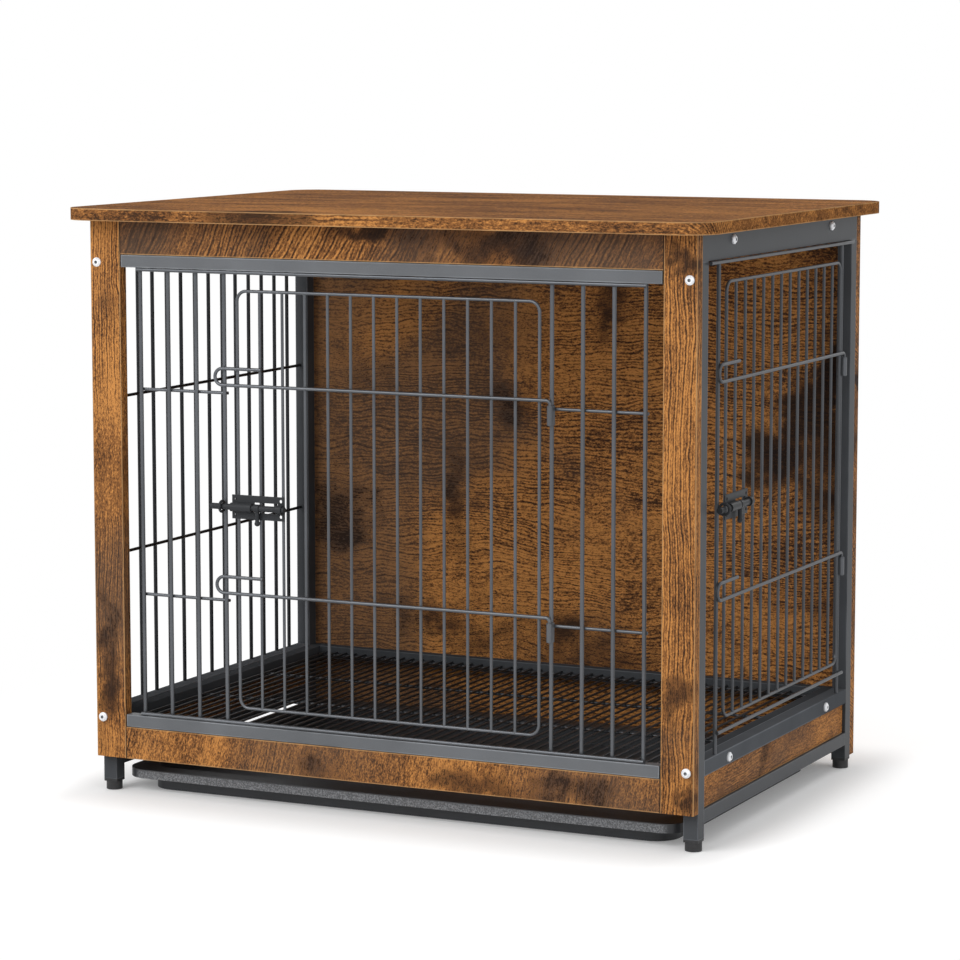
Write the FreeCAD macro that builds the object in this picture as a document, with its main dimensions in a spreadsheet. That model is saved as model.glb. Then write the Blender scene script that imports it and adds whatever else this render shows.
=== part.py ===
# A wood-and-wire pet crate that doubles as a side table.
# Millimetres. The origin is on the floor under the middle of the crate: +X right, -Y front, +Z up.
import FreeCAD, Part
import os
import re
import Sketcher

SIZES = [
    ("top_length", 690, "tabletop, left to right"),
    ("top_depth", 510, "tabletop, front to back"),
    ("top_thickness", 12, "tabletop board"),
    ("top_corner_radius", 32, "tabletop corners in plan"),
    ("total_height", 593, "floor to the top of the tabletop"),
    ("side_overhang", 19.5, "tabletop past the side frames"),
    ("front_overhang", 28, "tabletop past the front and back boards"),
    ("board_thickness", 12, "front, back and side boards"),
    ("stile_width", 33.5, "front uprights of wood"),
    ("front_top_height", 34, "wood rail under the tabletop"),
    ("front_low_height", 32.4, "wood rail over the tray"),
    ("front_board_bottom", 36.8, "lower edge of the front boards"),
    ("post_width", 15, "square steel posts"),
    ("tube_wall", 1.2, "wall of every steel tube"),
    ("front_tube_width", 12.2, "square tubes across the front opening"),
    ("front_tube_gap", 0.6, "front tubes to the wood rails"),
    ("front_tube_end_gap", 1.5, "front tubes to the stiles"),
    ("side_top_height", 26.4, "side rail under the tabletop"),
    ("side_middle_bottom", 70, "underside of the middle side rails"),
    ("side_low_bottom", 25.3, "underside of the low side rails"),
    ("side_low_height", 13, "low side rails"),
    ("side_board_recess", 3, "side boards back from the posts' outer faces"),
    ("side_board_gap", 0.3, "side boards to the rails above and below"),
    ("side_board_end_gap", 1.5, "side boards to the posts"),
    ("back_board_bottom", 12, "lower edge of the back board"),
    ("floor_rail_width", 12, "floor frame rails, across"),
    ("floor_rail_height", 14, "floor frame rails, upright"),
    ("floor_rail_gap", 0.8, "floor frame to the middle side rails"),
    ("floor_end_gap", 2, "floor frame to the front and back boards"),
    ("floor_front_drop", 8, "front floor rail below the others"),
    ("floor_wire_radius", 1.2, "close wires of the floor"),
    ("floor_cross_radius", 1.6, "cross wires under the close wires"),
    ("floor_wire_pitch", 12, "close wires, centre to centre"),
    ("floor_edge_gap", 4, "outer cross wires to the front and rear floor rails"),
    ("seat_gap", 0.2, "wire ends and loose seats"),
    ("weld_sink", 0.35, "depth that crossed wires sink into each other"),
    ("fixed_wire_radius", 2, "fixed upright wires"),
    ("long_wire_radius", 1.8, "long level wires"),
    ("cross_wire_radius", 1.6, "short cross wires"),
    ("front_wire_depth", 6, "fixed front uprights behind the front faces"),
    ("front_jamb_share", 0.605, "wires beside the front door, out from the middle of the front opening"),
    ("front_wire_end_gap", 20, "last front uprights to the stiles"),
    ("front_cross_drop", 8.5, "short cross wires below the hairpins"),
    ("side_panel_shift", 3, "side wires towards the back"),
    ("side_wire_end_gap", 28, "wires beside the side door to the posts, before the shift"),
    ("side_long_rise", 21.5, "long wire below the side door above the middle rail"),
    ("left_wire_end_gap", 27, "last uprights of the left panel to the posts, before the shift"),
    ("left_cross_share", 0.33, "cross wires of the left panel, in from its top and bottom"),
    ("side_long_overlap", 5, "long lower wire past the wires beside the door"),
    ("front_door_low_gap", 17, "lower front tube to the front door"),
    ("front_door_high_gap", 20.2, "front door to the upper front tube"),
    ("side_door_high_gap", 21.6, "side door to the top side rail"),
    ("door_loop_radius", 1.6, "wire of the outer loop"),
    ("door_wire_radius", 1.5, "inner upright wires of a door"),
    ("door_corner_radius", 10, "corners of the outer loop"),
    ("front_hinge_gap", 12.2, "front door loop to its hinge axis"),
    ("front_latch_gap", 15.4, "front door loop to the wire beside its latch"),
    ("side_latch_gap", 17.3, "side door loop to the wire beside its latch"),
    ("side_hinge_gap", 7.1, "side door loop to its hinge axis"),
    ("hairpin_radius", 1.7, "level door wires with the hairpin stops"),
    ("hairpin_low_share", 0.277, "lower hairpin, up a door"),
    ("hairpin_high_share", 0.776, "upper hairpin, up a door"),
    ("hairpin_bend", 8.2, "half the height of the hairpin's end"),
    ("hairpin_reach", 24, "hairpin past the door's loop"),
    ("hairpin_return", 28, "hairpin's upper leg inside the door's loop"),
    ("stop_gap", 0.35, "hairpin to the fixed wire that it closes on"),
    ("pin_bend", 4, "bend from a level wire to its hinge pin"),
    ("pin_drop", 24, "level wire to the lower end of its hinge pin"),
    ("sleeve_thickness", 0.9, "sheet of the hinge sleeves"),
    ("sleeve_height", 18.5, "hinge sleeves"),
    ("sleeve_end_gap", 0.7, "hinge sleeves above the ends of the pins"),
    ("sleeve_gap", 0.1, "hinge sleeves round the fixed wire"),
    ("latch_share", 0.487, "latch axis, up a door"),
    ("latch_overlap", 5.9, "latch plate past the door's loop"),
    ("latch_plate_length", 58.7, "latch plate along the bolt"),
    ("latch_plate_width", 23.8, "latch plate, upright"),
    ("latch_plate_thickness", 1.2, "latch plate sheet"),
    ("latch_seat_gap", 0.1, "latch plate to the door's loop"),
    ("latch_hole_radius", 1.7, "corner holes of the latch plate"),
    ("latch_hole_inset", 4.2, "corner holes to the plate's edges"),
    ("latch_bolt_radius", 3, "sliding bolt"),
    ("latch_bolt_gap", 0.5, "sliding bolt to the plate"),
    ("latch_bore_gap", 0.3, "sliding bolt in its barrels"),
    ("latch_barrel_thickness", 1.1, "wall of the barrels"),
    ("latch_barrel_length", 23.5, "long barrel beside the catch"),
    ("latch_guide_length", 6, "short barrel at the far end"),
    ("latch_end_inset", 0.8, "barrels to the plate's ends"),
    ("latch_collar_radius", 4, "collar that carries the handle"),
    ("latch_collar_length", 5.5, "collar along the bolt"),
    ("latch_collar_gap", 3, "collar to the long barrel"),
    ("latch_window_width", 10.4, "window in the plate for the collar"),
    ("latch_window_margin", 0.6, "window to the barrels"),
    ("latch_past_jamb", 12.3, "bolt's tip past the wire beside the door"),
    ("latch_past_plate", 2, "bolt's other end past the plate"),
    ("latch_handle_radius", 2.1, "handle of the bolt"),
    ("latch_handle_length", 15, "bolt's axis to the handle's knob"),
    ("latch_knob_radius", 2.8, "knob of the handle"),
    ("catch_ring_radius", 5.2, "ring catch, to the middle of its wire"),
    ("catch_wire_radius", 1.4, "wire of the ring catch"),
    ("tray_side_gap", 4, "tray rim to the posts, left and right"),
    ("tray_end_gap", 5, "tray rim back from the posts' outer faces, front and rear"),
    ("tray_height", 22.5, "tray, floor to rim"),
    ("tray_corner_radius", 25, "tray corners in plan"),
    ("tray_rim_width", 19, "rim past the tray's body"),
    ("tray_lip_height", 9, "turned-down lip of the rim"),
    ("tray_wall", 2.4, "tray plastic"),
    ("foot_radius", 8.2, "round feet under the plugs"),
    ("foot_height", 8.4, "feet below the plugs' flanges"),
    ("foot_flange_height", 2.6, "flange between foot and post"),
    ("foot_plug_height", 14, "plug inside the post"),
    ("foot_plug_gap", 0.15, "plug to the post's inner faces"),
    ("bolt_radius", 2.5, "frame bolts"),
    ("bolt_hole_gap", 0.2, "bolts and screws in their holes"),
    ("bolt_head_radius", 4.6, "button heads"),
    ("bolt_head_height", 2.9, "button heads"),
    ("bolt_dome_share", 0.5, "domed part of a button head's height"),
    ("bolt_crown_share", 0.62, "flat crown of a button head across its radius"),
    ("bolt_socket_radius", 1.75, "hex socket, to its corners"),
    ("bolt_socket_depth", 1.8, "hex socket"),
    ("bolt_past_nut", 1, "bolts past their nuts"),
    ("nut_radius", 4.6, "nuts, to their corners"),
    ("nut_height", 4, "nuts along the bolt"),
    ("stile_bolt_rise", 40.7, "lower bolts above the front boards' lower edge"),
    ("stile_bolt_drop", 42.4, "upper bolts below the tabletop"),
    ("side_bolt_share", 0.685, "bolts of a side, out from its middle"),
    ("side_bolt_drop", 9, "bolts of the top side rails below the tabletop"),
    ("bracket_thickness", 2, "angle brackets under the tabletop"),
    ("bracket_width", 30, "angle brackets, front to back"),
    ("bracket_leg", 24, "both legs of the angle brackets"),
    ("screw_radius", 2, "wood screws"),
    ("screw_head_radius", 3.6, "wood screw heads"),
    ("screw_head_height", 2.2, "wood screw heads"),
    ("screw_tip_gap", 0.5, "wood screws to the ends of their holes"),
    ("screw_bite", 9, "tabletop screws inside the board"),
    ("board_screw_share", 0.6, "screws of a side board, out from its middle"),
    ("board_screw_bite", 16, "side board screws inside the board"),
    ("tube_screw_share", 0.685, "screws of the front tubes, out from their middle"),
    ("tube_screw_bite", 5, "tube screws inside the tubes"),
    ("dowel_radius", 4, "dowels of the front frame"),
    ("dowel_length", 30, "dowels of the front frame"),
    ("dowel_spread", 16, "dowels of one corner, centre to centre"),
    ("overrun", 5, "cuts past the faces that they open"),
]

# Counts and signs that the loops share.
SIDES = (("left", "-"), ("right", ""))
DOOR_WIRES = 12
FRONT_WIRES = 4
LEFT_WIRES = 13
FLOOR_CROSS_WIRES = 4
HEX_SIDES = 6

PLACES = [
    ("frame_x", "top_length / 2 - side_overhang", "outer faces of the side frames"),
    ("front_y", "top_depth / 2 - front_overhang", "outer faces of the front and back boards"),
    ("post_y", "front_y - board_thickness", "outer faces of the posts, front and back"),
    ("post_inner_y", "post_y - post_width", "posts' faces towards the doors"),
    ("post_inner_x", "frame_x - post_width", "posts' faces towards the cabin"),
    ("top_bottom", "total_height - top_thickness", "underside of the tabletop"),
    ("post_bottom", "foot_height + foot_flange_height", "lower ends of the posts"),
    ("stile_x", "frame_x - stile_width", "inner edges of the stiles"),
    ("side_top_bottom", "top_bottom - side_top_height", "underside of the top side rails"),
    ("side_middle_top", "side_middle_bottom + post_width", "top of the middle side rails"),
    ("side_low_top", "side_low_bottom + side_low_height", "top of the low side rails"),
    ("tube_high_top", "top_bottom - front_top_height - front_tube_gap", "upper tube"),
    ("tube_high_bottom", "tube_high_top - front_tube_width", "upper tube"),
    ("tube_low_bottom", "front_board_bottom + front_low_height + front_tube_gap", "lower tube"),
    ("tube_low_top", "tube_low_bottom + front_tube_width", "lower tube"),
    ("floor_x", "post_inner_x - floor_rail_gap", "outer faces of the floor frame"),
    ("floor_inner_x", "floor_x - floor_rail_width", "inner faces of the floor frame"),
    ("floor_y", "post_y - floor_end_gap", "ends of the floor frame"),
    ("floor_inner_y", "floor_y - floor_rail_width", "inner faces of the floor frame"),
    ("floor_top", "side_middle_bottom + floor_rail_height", "top of the floor frame"),
    ("floor_front_top", "floor_top - floor_front_drop", "top of the front floor rail"),
    ("front_wire_y", "-front_y + front_wire_depth", "fixed front uprights"),
    ("side_wire_x", "frame_x - fixed_wire_radius", "fixed side uprights"),
    ("jamb_offset", "fixed_wire_radius + hairpin_radius + stop_gap", "hinge axis ahead of the uprights"),
    ("door_plane", "door_wire_radius + hairpin_radius - weld_sink", "door's wires inside the hinge axis"),
    ("latch_back", "door_plane - door_loop_radius - latch_seat_gap", "back of the latch plate"),
    ("latch_front", "latch_back - latch_plate_thickness", "front of the latch plate"),
    ("latch_axis", "latch_front - latch_bolt_gap - latch_bolt_radius", "axis of the sliding bolt"),
    ("side_bolt_high", "top_bottom - side_bolt_drop", "bolts of the top side rails"),
    ("side_bolt_low", "side_middle_bottom + floor_rail_height / 2", "bolts of the middle side rails"),
    ("side_bolt_half", "post_inner_y * side_bolt_share", "middle of a side to its bolts"),
    ("stile_bolt_low", "front_board_bottom + stile_bolt_rise", "lower bolts of the front and back"),
    ("stile_bolt_high", "top_bottom - stile_bolt_drop", "upper bolts of the front and back"),
    ("board_screw_half", "post_inner_y * board_screw_share", "middle of a side to its board's screws"),
    ("tube_screw_half", "stile_x * tube_screw_share", "middle of the front to its tubes' screws"),
    ("front_jamb_half", "stile_x * front_jamb_share", "middle of the front to the door's sides"),
    ("front_wire_last", "stile_x - front_wire_end_gap", "middle of the front to the last uprights"),
    ("front_wire_pitch", f"(front_wire_last - front_jamb_half) / {FRONT_WIRES - 1}", "front uprights"),
    ("side_jamb_half", "post_inner_y - side_wire_end_gap", "middle of a side to its door's sides"),
    ("side_long_low", "side_middle_top + side_long_rise", "long wire below the side door"),
    ("left_wire_half", "post_inner_y - left_wire_end_gap", "middle of the left panel to its last wire"),
    ("left_height", "side_top_bottom - side_middle_top", "left panel, rail to rail"),
    ("left_cross_inset", "left_height * left_cross_share", "cross wires of the left panel"),
    ("left_cross_low", "side_middle_top + left_cross_inset", "lower cross wire of the left panel"),
    ("left_cross_high", "side_top_bottom - left_cross_inset", "upper cross wire of the left panel"),
    ("front_door_bottom", "tube_low_top + front_door_low_gap", "lower wire of the front door"),
    ("door_height", "tube_high_bottom - front_door_high_gap - front_door_bottom", "loop of a door"),
    ("side_door_bottom", "side_top_bottom - side_door_high_gap - door_height", "foot of the side door"),
    ("front_door_width", "2 * front_jamb_half - front_hinge_gap - front_latch_gap", "front door's loop"),
    ("side_door_width", "2 * side_jamb_half - side_hinge_gap - side_latch_gap", "side door's loop"),
    ("hairpin_low", "door_height * hairpin_low_share", "lower hairpin above the door's lower wire"),
    ("hairpin_high", "door_height * hairpin_high_share", "upper hairpin above the door's lower wire"),
    ("latch_height", "door_height * latch_share", "latch axis above the door's lower wire"),
    ("cross_wire_depth", "fixed_wire_radius + cross_wire_radius - weld_sink", "behind the uprights"),
    ("front_cross_low", "front_door_bottom + hairpin_low - front_cross_drop", "low cross wires"),
    ("front_cross_high", "front_door_bottom + hairpin_high - front_cross_drop", "high cross wires"),
    ("tray_length", "2 * (post_inner_x - tray_side_gap)", "tray rim, left to right"),
    ("tray_depth", "2 * (post_y - tray_end_gap)", "tray rim, front to back"),
]

# Turns that send local +Z along a row axis, and the quarter turn from the front door to the side door.
UP = FreeCAD.Rotation()
DOWN = FreeCAD.Rotation(FreeCAD.Vector(1, 0, 0), 180)
RIGHT = FreeCAD.Rotation(FreeCAD.Vector(0, 1, 0), 90)
LEFT = FreeCAD.Rotation(FreeCAD.Vector(0, 1, 0), -90)
BACK = FreeCAD.Rotation(FreeCAD.Vector(1, 0, 0), -90)
FRONT = FreeCAD.Rotation(FreeCAD.Vector(1, 0, 0), 90)
QUARTER_TURN = FreeCAD.Rotation(FreeCAD.Vector(0, 0, 1), 90)

doc = FreeCAD.newDocument("pet_crate")
sheet = doc.addObject("Spreadsheet::Sheet", "Sizes")
for row, (name, value, words) in enumerate(SIZES, start=1):
    sheet.set(f"A{row}", words)
    sheet.set(f"B{row}", str(value))
    sheet.setAlias(f"B{row}", name)
doc.recompute()
OWNER = {name: "Sizes" for name, _, _ in SIZES}


def linked(text):
    """An expression with each size or place written with the object that holds it."""
    return re.sub(r"[a-z][a-z_]*", lambda word: f"{OWNER[word[0]]}.{word[0]}", text)


layout = doc.addObject("App::VarSet", "Layout")
for name, text, words in PLACES:
    layout.addProperty("App::PropertyFloat", name, "Places", words)
    layout.setExpression(name, linked(text))
    OWNER[name] = "Layout"
doc.recompute()


class Values:
    """Sizes and places as numbers, for shapes that are swept or repeated."""

    def __getattr__(self, name):
        if OWNER[name] == "Sizes":
            return float(sheet.get(name))
        return float(getattr(layout, name))


v = Values()
sub_parts = []


def sub_part(label, thing):
    """Give a finished piece its name."""
    thing.Label = label
    sub_parts.append(thing)
    return thing


def place(thing, at, turn=UP):
    """Turn a piece and bind its place to the sizes."""
    thing.Placement = FreeCAD.Placement(FreeCAD.Vector(), turn)
    for letter, text in zip("xyz", at):
        thing.setExpression(f"Placement.Base.{letter}", linked(text))
    return thing


def box(size, low):
    solid = doc.addObject("Part::Box", "box")
    for side, text in zip(("Length", "Width", "Height"), size):
        solid.setExpression(side, linked(text))
    return place(solid, low)


def rod(radius, length, start, turn=UP):
    solid = doc.addObject("Part::Cylinder", "rod")
    solid.setExpression("Radius", linked(radius))
    solid.setExpression("Height", linked(length))
    return place(solid, start, turn)


def prism(radius, length, start, turn=UP):
    solid = doc.addObject("Part::Prism", "prism")
    solid.Polygon = HEX_SIDES
    solid.setExpression("Circumradius", linked(radius))
    solid.setExpression("Height", linked(length))
    return place(solid, start, turn)


def cone(low_radius, high_radius, length, start):
    solid = doc.addObject("Part::Cone", "cone")
    solid.setExpression("Radius1", linked(low_radius))
    solid.setExpression("Radius2", linked(high_radius))
    solid.setExpression("Height", linked(length))
    return place(solid, start)


def fuse(*solids):
    joined = doc.addObject("Part::MultiFuse", "fuse")
    joined.Shapes = list(solids)
    joined.Refine = True
    return joined


def cut(base, *tools):
    rest = doc.addObject("Part::Cut", "cut")
    rest.Base = base
    rest.Tool = tools[0] if len(tools) == 1 else fuse(*tools)
    return rest


def bundle(solids):
    """Like pieces that stay separate solids under one name."""
    together = doc.addObject("Part::Compound", "bundle")
    together.Links = list(solids)
    return together


def tube(size, low, along):
    """A square tube, open at both ends, along axis 0, 1 or 2."""
    hollow_size = [f"{text} - 2 * tube_wall" for text in size]
    hollow_low = [f"{text} + tube_wall" for text in low]
    hollow_size[along] = f"{size[along]} + 2 * overrun"
    hollow_low[along] = f"{low[along]} - overrun"
    return cut(box(size, low), box(hollow_size, hollow_low))


def rounded_slab(length, depth, height, bottom, radius):
    """A flat slab, centred on the origin, with its upright edges rounded."""
    body = doc.addObject("PartDesign::Body", "slab")
    sketch = body.newObject("Sketcher::SketchObject", "outline")
    plane = next(item for item in body.Origin.OriginFeatures if item.Role == "XY_Plane")
    sketch.AttachmentSupport = [(plane, "")]
    sketch.MapMode = "FlatFace"
    half_x, half_y = v.top_length / 2, v.top_depth / 2
    corners = [FreeCAD.Vector(x * half_x, y * half_y) for x, y in ((-1, -1), (1, -1), (1, 1), (-1, 1))]
    for start, end in zip(corners, corners[1:] + corners[:1]):
        sketch.addGeometry(Part.LineSegment(start, end))
    for side in range(4):
        sketch.addConstraint(Sketcher.Constraint("Coincident", side, 2, (side + 1) % 4, 1))
        sketch.addConstraint(Sketcher.Constraint("Vertical" if side % 2 else "Horizontal", side))
    sketch.addConstraint(Sketcher.Constraint("Symmetric", 0, 1, 1, 2, -1, 1))
    wide = sketch.addConstraint(Sketcher.Constraint("DistanceX", 0, 1, 0, 2, v.top_length))
    deep = sketch.addConstraint(Sketcher.Constraint("DistanceY", 1, 1, 1, 2, v.top_depth))
    sketch.setExpression(f"Constraints[{wide}]", linked(length))
    sketch.setExpression(f"Constraints[{deep}]", linked(depth))
    pad = body.newObject("PartDesign::Pad", "pad")
    pad.Profile = sketch
    pad.setExpression("Length", linked(height))
    doc.recompute()
    upright = [
        f"Edge{number}"
        for number, edge in enumerate(pad.Shape.Edges, start=1)
        if edge.tangentAt(edge.FirstParameter).cross(FreeCAD.Vector(0, 0, 1)).Length < 0.5
    ]
    rounding = body.newObject("PartDesign::Fillet", "corners")
    rounding.Base = (pad, upright)
    rounding.setExpression("Radius", linked(radius))
    return place(body, ("0", "0", bottom))


def hole(radius, at, turn, depth):
    """A drilled hole that starts just outside its face; its tool is made along the turn."""
    return rod(f"{radius} + bolt_hole_gap", depth, at, turn)


def low_x(sign, outer, width):
    """Lower X of a piece whose outer face lies at a distance from the middle, left or right."""
    return f"-({outer})" if sign else f"{outer} - ({width})"


def bolt(length, at, turn):
    """A button-head bolt with a hex socket, its shank along the turn."""
    shank = rod("bolt_radius", length, ("0", "0", "0"))
    rim_height = "bolt_head_height * (1 - bolt_dome_share)"
    rim = rod("bolt_head_radius", rim_height, ("0", "0", f"-{rim_height}"))
    crown_radius = "bolt_head_radius * bolt_crown_share"
    dome_height = "bolt_head_height * bolt_dome_share"
    head_end = ("0", "0", "-bolt_head_height")
    crown = cone(crown_radius, "bolt_head_radius", dome_height, head_end)
    socket = prism("bolt_socket_radius", "bolt_socket_depth", head_end)
    return place(cut(fuse(shank, rim, crown), socket), at, turn)


def nut(at, turn):
    """A hex nut whose body runs from its seat along the turn."""
    bore = rod("bolt_radius + bolt_hole_gap", "nut_height + 2 * overrun", ("0", "0", "-overrun"))
    return place(cut(prism("nut_radius", "nut_height", ("0", "0", "0")), bore), at, turn)


def screw(length, at, turn):
    """A wood screw with a flat head, its shank along the turn."""
    shank = rod("screw_radius", length, ("0", "0", "0"))
    head = rod("screw_head_radius", "screw_head_height", ("0", "0", "-screw_head_height"))
    return place(fuse(shank, head), at, turn)


POST_X = "(frame_x - post_width / 2)"
BOARD_X = "(frame_x - side_board_recess - board_thickness / 2)"
BRACKET_SCREW_X = "(post_inner_x - bracket_leg / 2)"
BOARD_Y = "-front_y + board_thickness / 2"
TUBE_SCREW_Y = "-front_y + front_tube_width / 2"
SCREW_RECESS = "screw_head_height + screw_tip_gap"
BOARD_BORE = "board_thickness + 2 * overrun"
BOLT_HEIGHTS = ("stile_bolt_low", "stile_bolt_high")
DOWEL_HEIGHTS = tuple(
    f"{middle} {step} dowel_spread / 2"
    for middle in ("front_board_bottom + front_low_height / 2", "top_bottom - front_top_height / 2")
    for step in "-+"
)
INWARD = {"-": RIGHT, "": LEFT}
OUTWARD = {"-": LEFT, "": RIGHT}


def make_tabletop():
    slab = rounded_slab("top_length", "top_depth", "top_thickness", "top_bottom", "top_corner_radius")
    depth = "overrun + screw_bite + screw_tip_gap"
    holes = [
        hole("screw_radius", (f"{sign}{BRACKET_SCREW_X}", y, "top_bottom - overrun"), UP, depth)
        for _, sign in SIDES
        for y in ("-side_bolt_half", "side_bolt_half")
    ]
    sub_part("tabletop", cut(slab, *holes))


def make_front_frame():
    """Two stiles and two rails, doweled at the corners."""
    dowel_depth = "overrun + dowel_length / 2 + screw_tip_gap"
    for side, sign in SIDES:
        size = ("stile_width", "board_thickness", "top_bottom - front_board_bottom")
        stile = box(size, (low_x(sign, "frame_x", "stile_width"), "-front_y", "front_board_bottom"))
        holes = [
            hole("bolt_radius", (f"{sign}{POST_X}", "-front_y - overrun", height), BACK, BOARD_BORE)
            for height in BOLT_HEIGHTS
        ]
        edge_x = f"{sign}(stile_x - overrun)"
        holes += [
            hole("dowel_radius", (edge_x, BOARD_Y, height), OUTWARD[sign], dowel_depth)
            for height in DOWEL_HEIGHTS
        ]
        sub_part(f"front_stile_{side}", cut(stile, *holes))
    high = ("top_bottom - front_top_height", "top_bottom + overrun", DOWN)
    low = ("front_board_bottom", "front_board_bottom - overrun", UP)
    rails = (
        ("top", "front_top_height", DOWEL_HEIGHTS[2:], high),
        ("bottom", "front_low_height", DOWEL_HEIGHTS[:2], low),
    )
    for name, height, dowel_heights, (bottom, outside, turn) in rails:
        rail = box(("2 * stile_x", "board_thickness", height), ("-stile_x", "-front_y", bottom))
        holes = []
        for _, sign in SIDES:
            for dowel_height in dowel_heights:
                start = (f"{sign}(stile_x + overrun)", BOARD_Y, dowel_height)
                holes.append(hole("dowel_radius", start, INWARD[sign], dowel_depth))
            start = (f"{sign}tube_screw_half", TUBE_SCREW_Y, outside)
            holes.append(hole("screw_radius", start, turn, f"{height} + 2 * overrun"))
            holes.append(hole("screw_head_radius", start, turn, f"overrun + {SCREW_RECESS}"))
        sub_part(f"front_rail_{name}", cut(rail, *holes))
    dowels = []
    for _, sign in SIDES:
        for height in DOWEL_HEIGHTS:
            start = (f"{sign}(stile_x - dowel_length / 2)", BOARD_Y, height)
            dowels.append(rod("dowel_radius", "dowel_length", start, OUTWARD[sign]))
    sub_part("front_dowels", bundle(dowels))


def make_back_and_side_boards():
    size = ("2 * frame_x", "board_thickness", "top_bottom - back_board_bottom")
    back = box(size, ("-frame_x", "post_y", "back_board_bottom"))
    holes = [
        hole("bolt_radius", (f"{sign}{POST_X}", "post_y - overrun", height), BACK, BOARD_BORE)
        for _, sign in SIDES
        for height in BOLT_HEIGHTS
    ]
    sub_part("back_panel", cut(back, *holes))
    length = "2 * (post_inner_y - side_board_end_gap)"
    height = "side_middle_bottom - side_low_top - 2 * side_board_gap"
    depth = "overrun + side_board_gap + board_screw_bite + screw_tip_gap"
    for side, sign in SIDES:
        start_x = low_x(sign, "frame_x - side_board_recess", "board_thickness")
        start = (start_x, "-post_inner_y + side_board_end_gap", "side_low_top + side_board_gap")
        board = box(("board_thickness", length, height), start)
        holes = [
            hole("screw_radius", (f"{sign}{BOARD_X}", y, "side_low_top - overrun"), UP, depth)
            for y in ("-board_screw_half", "board_screw_half")
        ]
        sub_part(f"side_board_{side}", cut(board, *holes))


def make_posts_and_side_rails():
    post_size = ("post_width", "post_width", "side_top_bottom - post_bottom")
    post_bore = "overrun + post_width / 2"
    low_size = ("post_width", "2 * post_inner_y", "side_low_height")
    for side, sign in SIDES:
        start_x = low_x(sign, "frame_x", "post_width")
        for end, low_y, outside, turn in (
            ("front", "-post_y", "-post_y - overrun", BACK),
            ("rear", "post_y - post_width", "post_y + overrun", FRONT),
        ):
            post = tube(post_size, (start_x, low_y, "post_bottom"), 2)
            holes = [
                hole("bolt_radius", (f"{sign}{POST_X}", outside, bolt_at), turn, post_bore)
                for bolt_at in BOLT_HEIGHTS
            ]
            sub_part(f"post_{end}_{side}", cut(post, *holes))
        rails = (
            ("top", "post_y", "side_top_height", "side_top_bottom", "side_bolt_high"),
            ("middle", "post_inner_y", "post_width", "side_middle_bottom", "side_bolt_low"),
        )
        bolt_x = f"{sign}(post_inner_x - overrun)"
        for name, end_y, height, bottom, bolt_at in rails:
            rail = tube(("post_width", f"2 * {end_y}", height), (start_x, f"-{end_y}", bottom), 1)
            holes = [
                hole("bolt_radius", (bolt_x, y, bolt_at), OUTWARD[sign], "post_width + 2 * overrun")
                for y in ("-side_bolt_half", "side_bolt_half")
            ]
            sub_part(f"side_rail_{name}_{side}", cut(rail, *holes))
        rail = tube(low_size, (start_x, "-post_inner_y", "side_low_bottom"), 1)
        depth = "side_low_height + 2 * overrun"
        holes = [
            hole("screw_radius", (f"{sign}{BOARD_X}", y, "side_low_bottom - overrun"), UP, depth)
            for y in ("-board_screw_half", "board_screw_half")
        ]
        sub_part(f"side_rail_low_{side}", cut(rail, *holes))


def make_front_tubes():
    length = "2 * (stile_x - front_tube_end_gap)"
    depth = "overrun + front_tube_width / 2"
    tubes = (
        ("top", "tube_high_bottom", "tube_high_top + overrun", DOWN),
        ("bottom", "tube_low_bottom", "tube_low_bottom - overrun", UP),
    )
    for name, bottom, outside, turn in tubes:
        start = ("-stile_x + front_tube_end_gap", "-front_y", bottom)
        bar = tube((length, "front_tube_width", "front_tube_width"), start, 0)
        holes = [
            hole("screw_radius", (f"{sign}tube_screw_half", TUBE_SCREW_Y, outside), turn, depth)
            for _, sign in SIDES
        ]
        sub_part(f"front_tube_{name}", cut(bar, *holes))


def make_floor_rails():
    size = ("floor_rail_width", "2 * floor_y", "floor_rail_height")
    depth = "overrun + floor_rail_width / 2"
    for side, sign in SIDES:
        start_x = low_x(sign, "floor_x", "floor_rail_width")
        rail = tube(size, (start_x, "-floor_y", "side_middle_bottom"), 1)
        holes = [
            hole("bolt_radius", (f"{sign}(floor_x + overrun)", y, "side_bolt_low"), INWARD[sign], depth)
            for y in ("-side_bolt_half", "side_bolt_half")
        ]
        sub_part(f"floor_rail_{side}", cut(rail, *holes))
    size = ("2 * floor_inner_x", "floor_rail_width", "floor_rail_height")
    front_low = ("-floor_inner_x", "-floor_y", "floor_front_top - floor_rail_height")
    sub_part("floor_rail_front", tube(size, front_low, 0))
    sub_part("floor_rail_rear", tube(size, ("-floor_inner_x", "floor_inner_y", "side_middle_bottom"), 0))


def straight(radius, start, end):
    """A straight wire between two points."""
    way = end - start
    return Part.makeCylinder(radius, way.Length, start, way)


def welded(wires):
    """Crossed wires as the one solid that their welds make of them."""
    solids = wires[0].multiFuse(wires[1:]).removeSplitter().Solids
    if len(solids) != 1:
        raise RuntimeError(f"the welded wires fall into {len(solids)} pieces")
    return solids[0]


def swept(radius, edges):
    """A bent wire along joined lines and arcs."""
    path = Part.Wire(edges)
    first = edges[0]
    start = first.valueAt(first.FirstParameter)
    section = Part.Wire(Part.makeCircle(radius, start, first.tangentAt(first.FirstParameter)))
    wire = path.makePipeShell([section], True, False)
    if abs(wire.Volume / (Part.Face(section).Area * path.Length) - 1) > 0.01:
        raise RuntimeError("a bent wire isn't as thick as its section")
    return wire


def feature(label, shape, at=("0", "0", "0"), turn=UP):
    thing = doc.addObject("Part::Feature", "wires")
    thing.Shape = shape
    return sub_part(label, place(thing, at, turn))


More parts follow.
